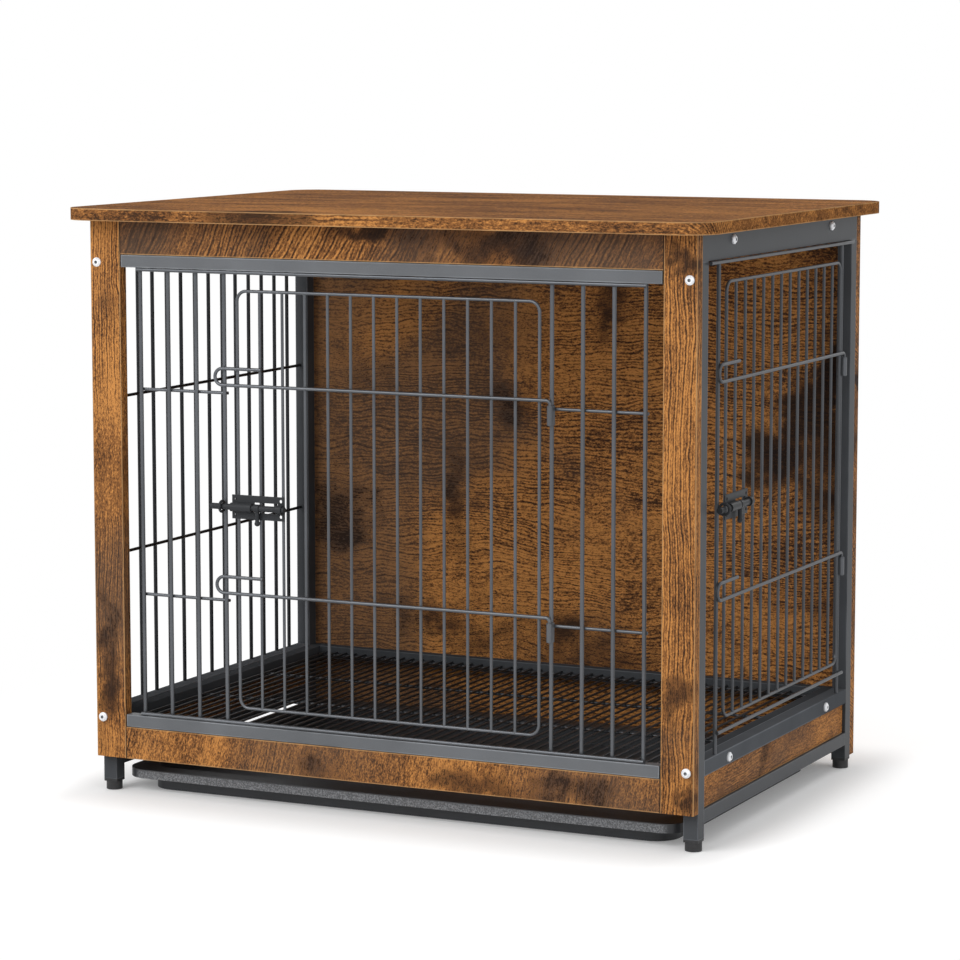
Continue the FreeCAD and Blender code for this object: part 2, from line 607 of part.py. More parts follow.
def make_front_wires():
    """Fixed uprights left and right of the front door, and the long wires along the two tubes."""
    low = v.tube_low_top + v.seat_gap
    high = v.tube_high_bottom - v.seat_gap
    behind = v.front_wire_y + v.cross_wire_depth
    for side, way in (("left", -1), ("right", 1)):
        wires = []
        for number in range(FRONT_WIRES):
            x = way * (v.front_jamb_half + number * v.front_wire_pitch)
            start = FreeCAD.Vector(x, v.front_wire_y, low)
            wires.append(straight(v.fixed_wire_radius, start, FreeCAD.Vector(x, v.front_wire_y, high)))
        for height in (v.front_cross_low, v.front_cross_high):
            start = FreeCAD.Vector(way * (v.front_jamb_half - v.fixed_wire_radius), behind, height)
            end = FreeCAD.Vector(way * (v.front_wire_last + v.fixed_wire_radius), behind, height)
            wires.append(straight(v.cross_wire_radius, start, end))
        feature(f"front_grille_{side}", welded(wires))
    front = "front_wire_y - fixed_wire_radius - long_wire_radius - seat_gap"
    half = "(front_wire_last + fixed_wire_radius)"
    inset = "long_wire_radius + seat_gap"
    long_wires = [
        rod("long_wire_radius", f"2 * {half}", (f"-{half}", front, height), RIGHT)
        for height in (f"tube_low_top + {inset}", f"tube_high_bottom - ({inset})")
    ]
    sub_part("front_long_wires", bundle(long_wires))


def make_side_wires():
    """Fixed wires round the side door on the right, and the welded panel on the left."""
    bottom = "side_middle_top + seat_gap"
    height = "side_top_bottom - side_middle_top - 2 * seat_gap"
    uprights = [
        rod("fixed_wire_radius", height, ("side_wire_x", y, bottom))
        for y in ("side_panel_shift - side_jamb_half", "side_panel_shift + side_jamb_half")
    ]
    sub_part("side_jamb_wires", bundle(uprights))
    outside = "side_wire_x + fixed_wire_radius + long_wire_radius + seat_gap"
    top_start = (outside, "-post_inner_y + seat_gap", "side_top_bottom - long_wire_radius - seat_gap")
    low_half = "(side_jamb_half + side_long_overlap)"
    low_start = (outside, f"side_panel_shift - {low_half}", "side_long_low")
    long_wires = (
        rod("long_wire_radius", "2 * (post_inner_y - seat_gap)", top_start, BACK),
        rod("long_wire_radius", f"2 * {low_half}", low_start, BACK),
    )
    sub_part("side_long_wires", bundle(long_wires))
    low = v.side_middle_top + v.seat_gap
    high = v.side_top_bottom - v.seat_gap
    wires = []
    for number in range(LEFT_WIRES):
        y = v.side_panel_shift + v.left_wire_half * (2 * number / (LEFT_WIRES - 1) - 1)
        start = FreeCAD.Vector(-v.side_wire_x, y, low)
        wires.append(straight(v.fixed_wire_radius, start, FreeCAD.Vector(-v.side_wire_x, y, high)))
    inside = -v.side_wire_x + v.cross_wire_depth
    end_y = v.post_inner_y - v.seat_gap
    for height in (v.left_cross_low, v.left_cross_high):
        start = FreeCAD.Vector(inside, -end_y, height)
        wires.append(straight(v.cross_wire_radius, start, FreeCAD.Vector(inside, end_y, height)))
    feature("left_grille", welded(wires))


def make_floor_grid():
    """Close wires from front to back, welded onto cross wires."""
    height = v.floor_front_top + v.seat_gap + v.floor_wire_radius
    below = height - v.floor_wire_radius - v.floor_cross_radius + v.weld_sink
    half_count = int(v.floor_inner_x / v.floor_wire_pitch - 1 / 2)
    rear_y = v.floor_inner_y - v.seat_gap
    wires = []
    for number in range(-half_count, half_count + 1):
        x = number * v.floor_wire_pitch
        start = FreeCAD.Vector(x, -v.floor_y, height)
        wires.append(straight(v.floor_wire_radius, start, FreeCAD.Vector(x, rear_y, height)))
    end_x = v.floor_inner_x - v.seat_gap
    for number in range(FLOOR_CROSS_WIRES):
        y = (v.floor_inner_y - v.floor_edge_gap) * (2 * number / (FLOOR_CROSS_WIRES - 1) - 1)
        start = FreeCAD.Vector(-end_x, y, below)
        wires.append(straight(v.floor_cross_radius, start, FreeCAD.Vector(end_x, y, below)))
    feature("floor_grid", welded(wires))


# A door is drawn with its hinge axis as local Z, its lower wire at local zero height,
# itself towards local -X and the outside of the crate towards local -Y.
FRONT_HINGE = ("front_jamb_half", "front_wire_y - jamb_offset", "front_door_bottom")
SIDE_HINGE = ("side_wire_x + jamb_offset", "side_panel_shift + side_jamb_half", "side_door_bottom")
DOORS = (("front", FRONT_HINGE, UP), ("side", SIDE_HINGE, QUARTER_TURN))


def line(start, end):
    return Part.LineSegment(start, end).toShape()


def arc(start, middle, end):
    return Part.Arc(start, middle, end).toShape()


def door_shape(hinge_gap, width):
    """The welded wires of one door."""
    right = -hinge_gap
    left = right - width
    middle = (left + right) / 2
    plane = v.door_plane
    radius = v.door_corner_radius
    slant = radius * (1 - 0.5 ** 0.5)
    wires = []
    for edge, way in ((left, 1), (right, -1)):
        def at(inset, height, edge=edge, way=way):
            return FreeCAD.Vector(edge + way * inset, plane, height)
        top = v.door_height
        half_loop = [
            line(FreeCAD.Vector(middle, plane, 0), at(radius, 0)),
            arc(at(radius, 0), at(slant, slant), at(0, radius)),
            line(at(0, radius), at(0, top - radius)),
            arc(at(0, top - radius), at(slant, top - slant), at(radius, top)),
            line(at(radius, top), FreeCAD.Vector(middle, plane, top)),
        ]
        wires.append(swept(v.door_loop_radius, half_loop))
    for number in range(DOOR_WIRES):
        x = left + width * (number + 1) / (DOOR_WIRES + 1)
        start = FreeCAD.Vector(x, plane, 0)
        wires.append(straight(v.door_wire_radius, start, FreeCAD.Vector(x, plane, v.door_height)))
    for height in (v.hairpin_low, v.hairpin_high):
        wires.append(swept(v.hairpin_radius, hairpin(left, height)))
    return welded(wires)


def hairpin(left, height):
    """From the foot of a hinge pin along the door and back round the end that meets the fixed wire."""
    bend = v.pin_bend
    slant = bend * (1 - 0.5 ** 0.5)
    loop = v.hairpin_bend
    turn_x = left - v.hairpin_reach + loop
    foot = FreeCAD.Vector(0, 0, height - v.pin_drop)
    bend_start = FreeCAD.Vector(0, 0, height - bend)
    bend_middle = FreeCAD.Vector(-slant, 0, height - slant)
    bend_end = FreeCAD.Vector(-bend, 0, height)
    turn_start = FreeCAD.Vector(turn_x, 0, height)
    turn_middle = FreeCAD.Vector(turn_x - loop, 0, height + loop)
    turn_end = FreeCAD.Vector(turn_x, 0, height + 2 * loop)
    return [
        line(foot, bend_start),
        arc(bend_start, bend_middle, bend_end),
        line(bend_end, turn_start),
        arc(turn_start, turn_middle, turn_end),
        line(turn_end, FreeCAD.Vector(left + v.hairpin_return, 0, height + 2 * loop)),
    ]


def stadium(radius, bottom, height):
    """An upright bar with round ends, from the hinge axis to the fixed wire behind it."""
    ends = [rod(radius, height, ("0", y, bottom)) for y in ("0", "jamb_offset")]
    web = box((f"2 * ({radius})", "jamb_offset", height), (f"-({radius})", "0", bottom))
    return fuse(*ends, web)


def make_doors():
    for kind, at, turn in DOORS:
        hinge_gap = getattr(v, f"{kind}_hinge_gap")
        width = getattr(v, f"{kind}_door_width")
        feature(f"{kind}_door", door_shape(hinge_gap, width), at, turn)
        sleeves = []
        inner = "fixed_wire_radius + sleeve_gap"
        notch_half = f"({inner} + sleeve_thickness + overrun)"
        notch_y = "jamb_offset + cross_wire_depth"
        for height in ("hairpin_low", "hairpin_high"):
            bottom = f"{height} - pin_drop + sleeve_end_gap"
            shell = stadium(f"{inner} + sleeve_thickness", bottom, "sleeve_height")
            cuts = [stadium(inner, f"{bottom} - overrun", "sleeve_height + 2 * overrun")]
            if kind == "front":
                notch_start = (f"-{notch_half}", notch_y, f"{height} - front_cross_drop")
                cuts.append(rod("cross_wire_radius + seat_gap", f"2 * {notch_half}", notch_start, RIGHT))
            sleeves.append(cut(shell, *cuts))
        sub_part(f"{kind}_hinge_sleeves", place(bundle(sleeves), at, turn))


def make_latches():
    """Barrelled plate on the door, sliding bolt with its handle, and ring catch on the fixed wire."""
    for kind, at, turn in DOORS:
        left = f"-{kind}_hinge_gap - {kind}_door_width - latch_overlap"
        right = f"{left} + latch_plate_length"
        barrel_start = f"{left} + latch_end_inset"
        barrel_end = f"{barrel_start} + latch_barrel_length"
        guide_start = f"{right} - latch_end_inset - latch_guide_length"
        bottom = "latch_height - latch_plate_width / 2"
        size = ("latch_plate_length", "latch_plate_thickness", "latch_plate_width")
        plate = box(size, (left, "latch_front", bottom))

        def along_bolt(radius, length, start):
            return rod(radius, length, (start, "latch_axis", "latch_height"), RIGHT)

        bore_radius = "latch_bolt_radius + latch_bore_gap"
        barrel_radius = f"{bore_radius} + latch_barrel_thickness"
        barrels = (
            along_bolt(barrel_radius, "latch_barrel_length", barrel_start),
            along_bolt(barrel_radius, "latch_guide_length", guide_start),
        )
        bore = along_bolt(bore_radius, "latch_plate_length + 2 * overrun", f"{left} - overrun")
        ahead = "latch_front - overrun"
        through = "latch_plate_thickness + 2 * overrun"
        window_length = f"{guide_start} - ({barrel_end}) - 2 * latch_window_margin"
        window_bottom = "latch_height - latch_window_width / 2"
        window_low = (f"{barrel_end} + latch_window_margin", ahead, window_bottom)
        window = box((window_length, through, "latch_window_width"), window_low)
        corners = [
            rod("latch_hole_radius", through, (x, ahead, z), BACK)
            for x in (f"{left} + latch_hole_inset", f"{right} - latch_hole_inset")
            for z in (f"{bottom} + latch_hole_inset", f"{bottom} + latch_plate_width - latch_hole_inset")
        ]
        plate = cut(fuse(plate, *barrels), bore, window, *corners)
        sub_part(f"{kind}_latch_plate", place(plate, at, turn))

        jamb = f"-2 * {kind}_jamb_half"
        tip = f"{jamb} - latch_past_jamb"
        collar_start = f"{barrel_end} + latch_collar_gap"
        handle_top = (f"{collar_start} + latch_collar_length / 2", "latch_axis", "latch_height")
        knob = doc.addObject("Part::Sphere", "knob")
        knob.setExpression("Radius", linked("latch_knob_radius"))
        place(knob, (handle_top[0], "latch_axis", "latch_height - latch_handle_length"))
        slider = fuse(
            along_bolt("latch_bolt_radius", f"{right} + latch_past_plate - ({tip})", tip),
            along_bolt("latch_collar_radius", "latch_collar_length", collar_start),
            rod("latch_handle_radius", "latch_handle_length", handle_top, DOWN),
            knob,
        )
        sub_part(f"{kind}_latch_bolt", place(slider, at, turn))

        ring = doc.addObject("Part::Torus", "ring")
        ring.setExpression("Radius1", linked("catch_ring_radius"))
        ring.setExpression("Radius2", linked("catch_wire_radius"))
        place(ring, (jamb, "latch_axis", "latch_height"), RIGHT)
        saddle_start = (jamb, "jamb_offset", "latch_height - catch_ring_radius - overrun")
        saddle_length = "2 * (catch_ring_radius + overrun)"
        saddle = rod("fixed_wire_radius + latch_seat_gap", saddle_length, saddle_start)
        sub_part(f"{kind}_latch_catch", place(cut(ring, saddle), at, turn))


def make_tray():
    """A shallow tray that stands on the floor, with a wide rim and a turned-down lip."""

    def slab(inset, height, bottom, radius):
        length = f"tray_length - 2 * ({inset})"
        depth = f"tray_depth - 2 * ({inset})"
        return rounded_slab(length, depth, height, bottom, radius)

    lip_bottom = "tray_height - tray_lip_height"
    inner_radius = "tray_corner_radius - tray_wall"
    rim = slab("0", "tray_lip_height", lip_bottom, "tray_corner_radius")
    under_height = "tray_lip_height - tray_wall + overrun"
    under_rim = slab("tray_wall", under_height, f"{lip_bottom} - overrun", inner_radius)
    body = slab("tray_rim_width", "tray_height", "0", "tray_corner_radius")
    inside = slab("tray_rim_width + tray_wall", "tray_height", "tray_wall", inner_radius)
    sub_part("tray", cut(fuse(cut(rim, under_rim), body), inside))


def make_feet():
    """Round feet, each with a square flange against its post and a plug inside it."""
    layers = (
        ("post_width", "foot_flange_height", "foot_height"),
        ("(post_width - 2 * tube_wall - 2 * foot_plug_gap)", "foot_plug_height", "post_bottom"),
    )
    feet = []
    for _, sign in SIDES:
        for way in ("-", ""):
            x = f"{sign}{POST_X}"
            y = f"{way}(post_y - post_width / 2)"
            blocks = [
                box((width, width, height), (f"{x} - {width} / 2", f"{y} - {width} / 2", bottom))
                for width, height, bottom in layers
            ]
            feet.append(fuse(rod("foot_radius", "foot_height", (x, y, "0")), *blocks))
    sub_part("feet", bundle(feet))


def make_fasteners():
    board_bolt = "board_thickness + tube_wall + nut_height + bolt_past_nut"
    front_bolts = []
    back_bolts = []
    side_top_bolts = []
    side_low_bolts = []
    nuts = []
    brackets = []
    tabletop_screws = []
    board_screws = []
    tube_screws = []
    for _, sign in SIDES:
        x = f"{sign}{POST_X}"
        bracket_x = f"{sign}(post_inner_x - bracket_thickness)"
        for height in BOLT_HEIGHTS:
            front_bolts.append(bolt(board_bolt, (x, "-front_y", height), BACK))
            nuts.append(nut((x, "-post_y + tube_wall", height), BACK))
            back_bolts.append(bolt(board_bolt, (x, "front_y", height), FRONT))
            nuts.append(nut((x, "post_y - tube_wall", height), FRONT))
        for y in ("-side_bolt_half", "side_bolt_half"):
            length = "post_width + bracket_thickness + nut_height + bolt_past_nut"
            side_top_bolts.append(bolt(length, (f"{sign}frame_x", y, "side_bolt_high"), INWARD[sign]))
            nuts.append(nut((bracket_x, y, "side_bolt_high"), INWARD[sign]))
            length = "post_width + floor_rail_gap + tube_wall + nut_height + bolt_past_nut"
            side_low_bolts.append(bolt(length, (f"{sign}frame_x", y, "side_bolt_low"), INWARD[sign]))
            nuts.append(nut((f"{sign}(floor_x - tube_wall)", y, "side_bolt_low"), INWARD[sign]))
            brackets.append(bracket(sign, y))
            seat = (f"{sign}{BRACKET_SCREW_X}", y, "top_bottom - bracket_thickness")
            tabletop_screws.append(screw("bracket_thickness + screw_bite", seat, UP))
        for y in ("-board_screw_half", "board_screw_half"):
            length = "side_low_height + side_board_gap + board_screw_bite"
            board_screws.append(screw(length, (f"{sign}{BOARD_X}", y, "side_low_bottom"), UP))
        reach = f"front_tube_gap + tube_wall + tube_screw_bite - ({SCREW_RECESS})"
        high = (f"{sign}tube_screw_half", TUBE_SCREW_Y, f"top_bottom - ({SCREW_RECESS})")
        tube_screws.append(screw(f"front_top_height + {reach}", high, DOWN))
        low = (f"{sign}tube_screw_half", TUBE_SCREW_Y, f"front_board_bottom + {SCREW_RECESS}")
        tube_screws.append(screw(f"front_low_height + {reach}", low, UP))
    sub_part("front_bolts", bundle(front_bolts))
    sub_part("back_bolts", bundle(back_bolts))
    sub_part("side_top_bolts", bundle(side_top_bolts))
    sub_part("side_low_bolts", bundle(side_low_bolts))
    sub_part("frame_nuts", bundle(nuts))
    sub_part("tabletop_brackets", bundle(brackets))
    sub_part("tabletop_screws", bundle(tabletop_screws))
    sub_part("side_board_screws", bundle(board_screws))
    sub_part("front_tube_screws", bundle(tube_screws))


def bracket(sign, y):
    """An angle between the inner face of a top side rail and the underside of the tabletop."""
    low_y = f"{y} - bracket_width / 2"
    leg_x = low_x(sign, "post_inner_x", "bracket_thickness")
    upright_low = (leg_x, low_y, "top_bottom - bracket_leg")
    upright = box(("bracket_thickness", "bracket_width", "bracket_leg"), upright_low)
    shelf_low = (low_x(sign, "post_inner_x", "bracket_leg"), low_y, "top_bottom - bracket_thickness")
    shelf = box(("bracket_leg", "bracket_width", "bracket_thickness"), shelf_low)
    bolt_start = (f"{sign}(post_inner_x + overrun)", y, "side_bolt_high")
    bolt_hole = hole("bolt_radius", bolt_start, INWARD[sign], "bracket_thickness + 2 * overrun")
    screw_start = (f"{sign}{BRACKET_SCREW_X}", y, "top_bottom - bracket_thickness - overrun")
    screw_hole = hole("screw_radius", screw_start, UP, "bracket_thickness + 2 * overrun")
    return cut(fuse(upright, shelf), bolt_hole, screw_hole)


make_tabletop()
make_front_frame()
make_back_and_side_boards()
make_posts_and_side_rails()
make_front_tubes()
make_floor_rails()
make_front_wires()
make_side_wires()
make_floor_grid()
make_doors()
make_latches()
make_tray()
make_feet()
make_fasteners()
doc.recompute()

for thing in doc.Objects:
    if "Invalid" in thing.State or "Error" in thing.State:
        raise RuntimeError(f"{thing.Label} didn't build: {thing.State}")
for piece in sub_parts:
    if piece.Shape.isNull() or not piece.Shape.isValid():
        raise RuntimeError(f"{piece.Label} has no sound shape")

os.makedirs("parts", exist_ok=True)
for piece in sub_parts:
    piece.Shape.exportStep(f"parts/{piece.Label}.step")
print(len(sub_parts), "sub-parts")
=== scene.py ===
"""Looks of a wood-and-wire pet crate that doubles as a side table."""
import math

import bpy
from bpy.props import FloatProperty, FloatVectorProperty, PointerProperty
from bpy.types import Operator, Panel, PropertyGroup
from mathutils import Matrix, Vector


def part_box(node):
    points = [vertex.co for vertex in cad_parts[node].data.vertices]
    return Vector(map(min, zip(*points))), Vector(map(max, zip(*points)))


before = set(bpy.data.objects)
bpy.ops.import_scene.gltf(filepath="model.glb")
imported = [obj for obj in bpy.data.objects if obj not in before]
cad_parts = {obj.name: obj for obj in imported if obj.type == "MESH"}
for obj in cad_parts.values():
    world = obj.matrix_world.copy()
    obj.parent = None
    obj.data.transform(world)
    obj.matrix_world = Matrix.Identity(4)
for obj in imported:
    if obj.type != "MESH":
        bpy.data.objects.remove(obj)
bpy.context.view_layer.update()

bl_info = {
    "name": "Pet crate looks",
    "version": (1, 0, 0),
    "blender": (4, 5, 0),
    "location": "3D View > Sidebar > Crate",
    "description": "Rustic boards, coated steel, zinc bolts and a plastic tray for a pet crate",
    "category": "Object",
}

NOISE_MIDDLE = 0.5
BEVEL_SAMPLES = 6

# How each board is printed, in metres and degrees. PLAIN_BOARD holds what a board leaves out.
#   axes     axes along the grain, across it and through the board
#   seed     moves the print, so that no two boards show the same piece of it
#   burn     more scorching; curl is how far the growth lines sway
#   pitch    spacing of the growth lines, over the usual one; tilt turns the grain in its board
#   drawn    how much the growth lines show; rough is the share of specks and grit
#   lift     paler or darker; slope is the same per metre along the board; blotch darkens cloudy areas
#   smoke    greyer or less grey; fade is the same per metre along the board, and darkens too
#   gloss    specular level; corner is the radius of the board's corners; jointed darkens both ends
#   patches  scorched places: along, across, half length, half width and weight
PLAIN_BOARD = {
    "pitch": 1, "tilt": 0, "drawn": 0, "rough": 1, "lift": 0, "slope": 0, "blotch": 0, "smoke": 0, "fade": 0,
    "gloss": 0.02, "corner": 0, "jointed": False, "patches": (),
}
BOARDS = {
    "tabletop": {
        "axes": "xyz", "seed": 3.1, "burn": 0.00, "curl": 0.030, "lift": -0.06, "smoke": -0.2,
        "gloss": 0.0004, "corner": 0.032,
        "patches": (
            (-0.12, -0.25, 0.05, 0.03, 0.9), (0.10, -0.02, 0.12, 0.05, 0.35), (-0.20, 0.12, 0.10, 0.05, 0.35),
        ),
    },
    "front_stile_left": {
        "axes": "zxy", "seed": 1.7, "burn": 0.04, "curl": 0.016, "drawn": 0.10, "blotch": 0.3,
        "patches": (
            (0.500, -0.303, 0.030, 0.008, 0.6), (0.115, -0.314, 0.070, 0.012, 0.9),
            (0.300, -0.298, 0.040, 0.006, 0.5),
        ),
    },
    "front_stile_right": {
        "axes": "zxy", "seed": 6.3, "burn": 0.02, "curl": 0.016, "drawn": 0.20, "blotch": 0.3,
        "patches": (
            (0.558, 0.312, 0.016, 0.013, 1.0), (0.147, 0.312, 0.018, 0.015, 0.8),
            (0.060, 0.318, 0.020, 0.010, 0.7),
        ),
    },
    "front_rail_top": {
        "axes": "xzy", "seed": 8.9, "burn": 0.04, "curl": 0.050, "pitch": 1.4, "tilt": 62, "drawn": 0.15,
        "lift": -0.06, "blotch": 0.5, "jointed": True,
        "patches": (
            (-0.010, 0.574, 0.030, 0.010, 1.0), (0.118, 0.565, 0.075, 0.022, 0.9),
            (-0.150, 0.557, 0.030, 0.010, 0.4),
        ),
    },
    "front_rail_bottom": {
        "axes": "xzy", "seed": 4.4, "burn": 0.02, "curl": 0.050, "pitch": 1.3, "tilt": 78, "rough": 1.3,
        "lift": 0.05, "blotch": 0.6, "jointed": True,
        "patches": (
            (0.094, 0.050, 0.050, 0.013, 0.8), (0.189, 0.046, 0.050, 0.014, 0.8),
            (-0.059, 0.048, 0.030, 0.012, 0.6),
        ),
    },
    "back_panel": {
        "axes": "xzy", "seed": 2.2, "burn": 0.00, "curl": 0.070, "pitch": 1.25, "drawn": 0.11, "rough": 1.55,
        "lift": 0.03, "slope": -0.90, "blotch": 0.9, "smoke": 0.03, "fade": -0.75,
        "patches": (
            (-0.277, 0.234, 0.036, 0.042, 1.0), (-0.133, 0.257, 0.018, 0.055, 0.8),
            (-0.065, 0.367, 0.028, 0.013, 0.8), (0.045, 0.480, 0.020, 0.028, 1.0),
            (-0.170, 0.126, 0.042, 0.018, 0.8), (-0.030, 0.108, 0.110, 0.030, 0.75),
            (-0.255, 0.404, 0.032, 0.020, 0.6), (-0.067, 0.449, 0.022, 0.018, 0.6),
            (0.300, 0.412, 0.016, 0.036, 1.4), (0.276, 0.372, 0.026, 0.034, 1.4),
            (0.240, 0.325, 0.034, 0.030, 1.3), (0.296, 0.340, 0.034, 0.056, 1.0),
            (0.260, 0.150, 0.050, 0.040, 0.5),
        ),
    },
    "side_board_left": {"axes": "yzx", "seed": 5.2, "burn": 0.04, "curl": 0.050},
    "side_board_right": {
        "axes": "yzx", "seed": 7.6, "burn": 0.00, "curl": 0.040, "lift": 0.05,
        "patches": ((-0.030, 0.050, 0.014, 0.020, 0.8), (-0.146, 0.045, 0.014, 0.016, 0.6)),
    },
}

# Noise layers of the wood print: scale along the grain and across it, detail, roughness and distortion.
LAYERS = {
    "sway": (5, 8, 3, 0.5, 0.0),
    "ripple": (26, 40, 2, 0.5, 0.0),
    "tone": (10, 42, 4, 0.62, 0.0),
    "speck": (170, 420, 2, 0.6, 0.0),
    "grit": (430, 800, 2, 0.7, 0.0),
    "pores": (70, 1500, 1, 0.5, 0.0),
    "cloud": (11, 15, 5, 0.62, 0.9),
    "smoke": (3.2, 4.2, 3, 0.55, 0.4),
    "drawn": (5, 9, 2, 0.5, 0.0),
}
# Two slow layers start somewhere else along the grain, so that they don't follow the others.
SMOKE_SHIFT = 7
DRAWN_SHIFT = 3
# How far a board's seed moves the print across the grain and through the board.
SEED_ACROSS = 0.37
SEED_DEEP = 0.61
# Growth lines lean through the board, ripple by this many metres, and are two waves laid over each other.
LINE_LEAN = 0.7
LINE_RIPPLE = 0.007
WAVE_SHARES = (0.6, 0.4)
SECOND_WAVE = 0.617
# Torn outlines of the scorched patches: noise scale, detail and roughness, reach along and across in metres.
TEAR_SCALE = 24
TEAR_NOISE = (4, 0.62)
TEAR_REACH = (0.11, 0.09)
PATCH_FALL = 0.36
# Weights of the layers in the paleness of the print and in its scorching.
PALE = {"speck": 0.95, "grit": 1.40, "drawn": 0.58, "faint": 0.05, "smoke": 0.8}
TORN = {"cloud": 1.3, "mark": 0.90, "tone": 0.5, "lines": 0.55, "grain": 0.90}
# Where a value starts to count and where it counts in full.
DRAWN_RANGE = (0.42, 0.64)
MIDDLE_RANGE = (0.10, 0.46)
LIGHT_RANGE = (0.42, 0.86)
SMOKED_RANGE = (0.46, 0.66)
SCORCHED_RANGE = (0.46, 1.00)
PORE_RANGE = (0.46, 0.32)
DARK_LINE_RANGE = (0.34, 0.04)
WORN_TONE_RANGE = (0.30, 0.60)
# Strongest share of each colour over the print below it.
COVER = {"smoked": 0.60, "scorched": 0.92, "pore": 0.40, "line": 0.30, "edge": 0.45, "edge_tone": 0.45}
PORE_COLOUR = 1.3
EDGE_LINE = (0.35, 1.0)
JOINT_LINE = (0.4, 1.2)

# Noises of the other materials: scale, detail and roughness, without the scale where a grain's size gives it.
COAT_DRIFT = (9, 3, 0.55)
COAT_PEEL = (2, 0.5)
COAT_SPECK = (1, 0.5)
ZINC_BLOOM = (260, 3, 0.6)
ZINC_MARKS = (1900, 2, 0.5)
LIP_GRAIN = (3, 0.7)
TRAY_SKIN = (620, 2, 0.5)
TRAY_SCUFF = (14, 4, 0.6)
FOOT_SKIN = (1500, 2, 0.5)
FOOT_SCUFF = (90, 3, 0.6)

# Powder coat: specks are finer than the peel, and the paint is darker or paler than its colour by these shares.
SPECK_FINENESS = 2.6
COAT_SHARES = (0.86, 1.18)
# Tube edges are painted pale, partly as wear and partly as a painted highlight where the rounded edges catch the
# light.
EDGE_WEAR_AND_HIGHLIGHT_SHARE = 2.3
EDGE_WEAR_AND_HIGHLIGHT_COVER = 0.65
EDGE_WEAR_AND_HIGHLIGHT_BAND = (0.0004, 0.0013)
COAT_GLOSS = 0.09
WIRE_SHEEN = 0.65
# Wires have a finer coat, and each group its own share of the wires' colour: the shares below 1 are painted
# shade, darkest on the wires that lie deepest in shade.
WIRE_GRAIN = 0.5
LATCH_GRAIN = 0.6
WIRE_SHADE_SHARES = {
    1.0: ("front_grille_left", "front_grille_right", "front_long_wires", "front_door"),
    0.7: ("side_long_wires", "side_jamb_wires", "side_door"),
    0.5: ("floor_grid",),
    0.3: ("left_grille",),
}
# The inner rails have no gloss: their top faces are seen so flat that they would mirror the white background.
# The middle rails' coat is painted paler by this share: painted light on their top faces.
MIDDLE_RAIL_PAINTED_LIGHT = 1.7

# Bolt rows and the two axes of the plane that their heads lie in.
# A socket's edge is a share of the head's radius.
BOLT_ROWS = {"front_bolts": (0, 2), "back_bolts": (0, 2), "side_top_bolts": (1, 2), "side_low_bolts": (1, 2)}
SOCKET_SHADE_EDGE = (0.30, 0.42)
# The sockets are painted dark with this share of the zinc: painted shade in the hollow.
SOCKET_SHADE_SHARE = 0.22
ZINC_DULL_SHARE = 0.88
ZINC_METALLIC = 0.20
ZINC_ROUGHNESS = 0.32

# Dowels: scale of the fibres along and across, their noise, and the two colours of raw beech.
BEECH_SCALE = (60, 900)
BEECH_FIBRE = (3, 0.6)
BEECH_ROUGHNESS = 0.65
BEECH_DARK = (0.40, 0.25, 0.12)
BEECH_PALE = (0.62, 0.43, 0.24)

# Tray and feet: the lip's grain ends this far inside the rim and starts this far under its top, in metres.
LIP_DEPTH = (0.0002, 0.0030)
LIP_TOP = (0.0016, 0.0004)
LIP_SHARES = (0.45, 1.35)
TRAY_SHARES = (0.85, 1.25)
TRAY_ROUGHNESS = 0.46
FOOT_SCUFF_SHARE = 2.2
FOOT_ROUGHNESS = 0.52

# Stage, in metres and watts: lamps as place, size and power, all aimed at one height over the origin.
LAMPS = {
    "key": ((-1.2, -3.0, 2.4), 2.4, 78),
    "fill": ((2.8, -1.6, 1.5), 2.2, 14),
    "back": ((0.6, 2.6, 2.4), 2.0, 20),
}
LAMP_AIM = 0.3
WHITE = (1, 1, 1, 1)
# The world is white to look at, and lights the crate with this strength.
WORLD_LIGHT = 0.55
FLOOR_SIZE = 40
FLOOR_DROP = 0.0005
# The floor glows more with the distance from the feet, which fades the shadow, and it ends in plain white.
# The shadow fades faster to the sides.
GLOW = (0.16, 0.46)
GLOW_REACH = (0, 0.13)
WHITE_REACH = (0.10, 0.70)
SIDE_STRETCH = 1.8
SENSOR_MM = 36
CLIP_END = 100


def colour(name, words, default):
    return FloatVectorProperty(
        name=name, description=words, subtype="COLOR", size=3, min=0, max=1, default=default)


def factor(name, words, default):
    return FloatProperty(name=name, description=words, subtype="FACTOR", min=0, max=1, default=default)


def length(name, words, default):
    return FloatProperty(
        name=name, description=words, subtype="DISTANCE", unit="LENGTH", min=0, default=default)


class CrateWood(PropertyGroup):
    """Rustic laminate of the boards."""
    light: colour("Light grain", "Palest streaks of the print", (0.575, 0.253, 0.073))
    middle: colour("Brown grain", "Usual brown of the print", (0.238, 0.100, 0.035))
    deep: colour("Dark grain", "Darker streaks of the print", (0.060, 0.031, 0.018))
    smoked: colour("Smoked grain", "Greyed areas of the print", (0.125, 0.082, 0.058))
    burnt: colour("Burnt grain", "Scorched patches of the print", (0.017, 0.0130, 0.0125))
    edge: colour("Edge band", "Thin pale line where the face meets the edge band", (0.50, 0.285, 0.125))
    roughness: factor("Roughness", "Roughness of the print between the pores", 0.44)
    line: length("Growth line", "Distance from one growth line to the next", 0.0028)
    edge_width: length("Edge line", "Width of the pale line along a board's edges", 0.0012)
    rounding: length("Rounding", "Rounding of a board's edges", 0.0006)


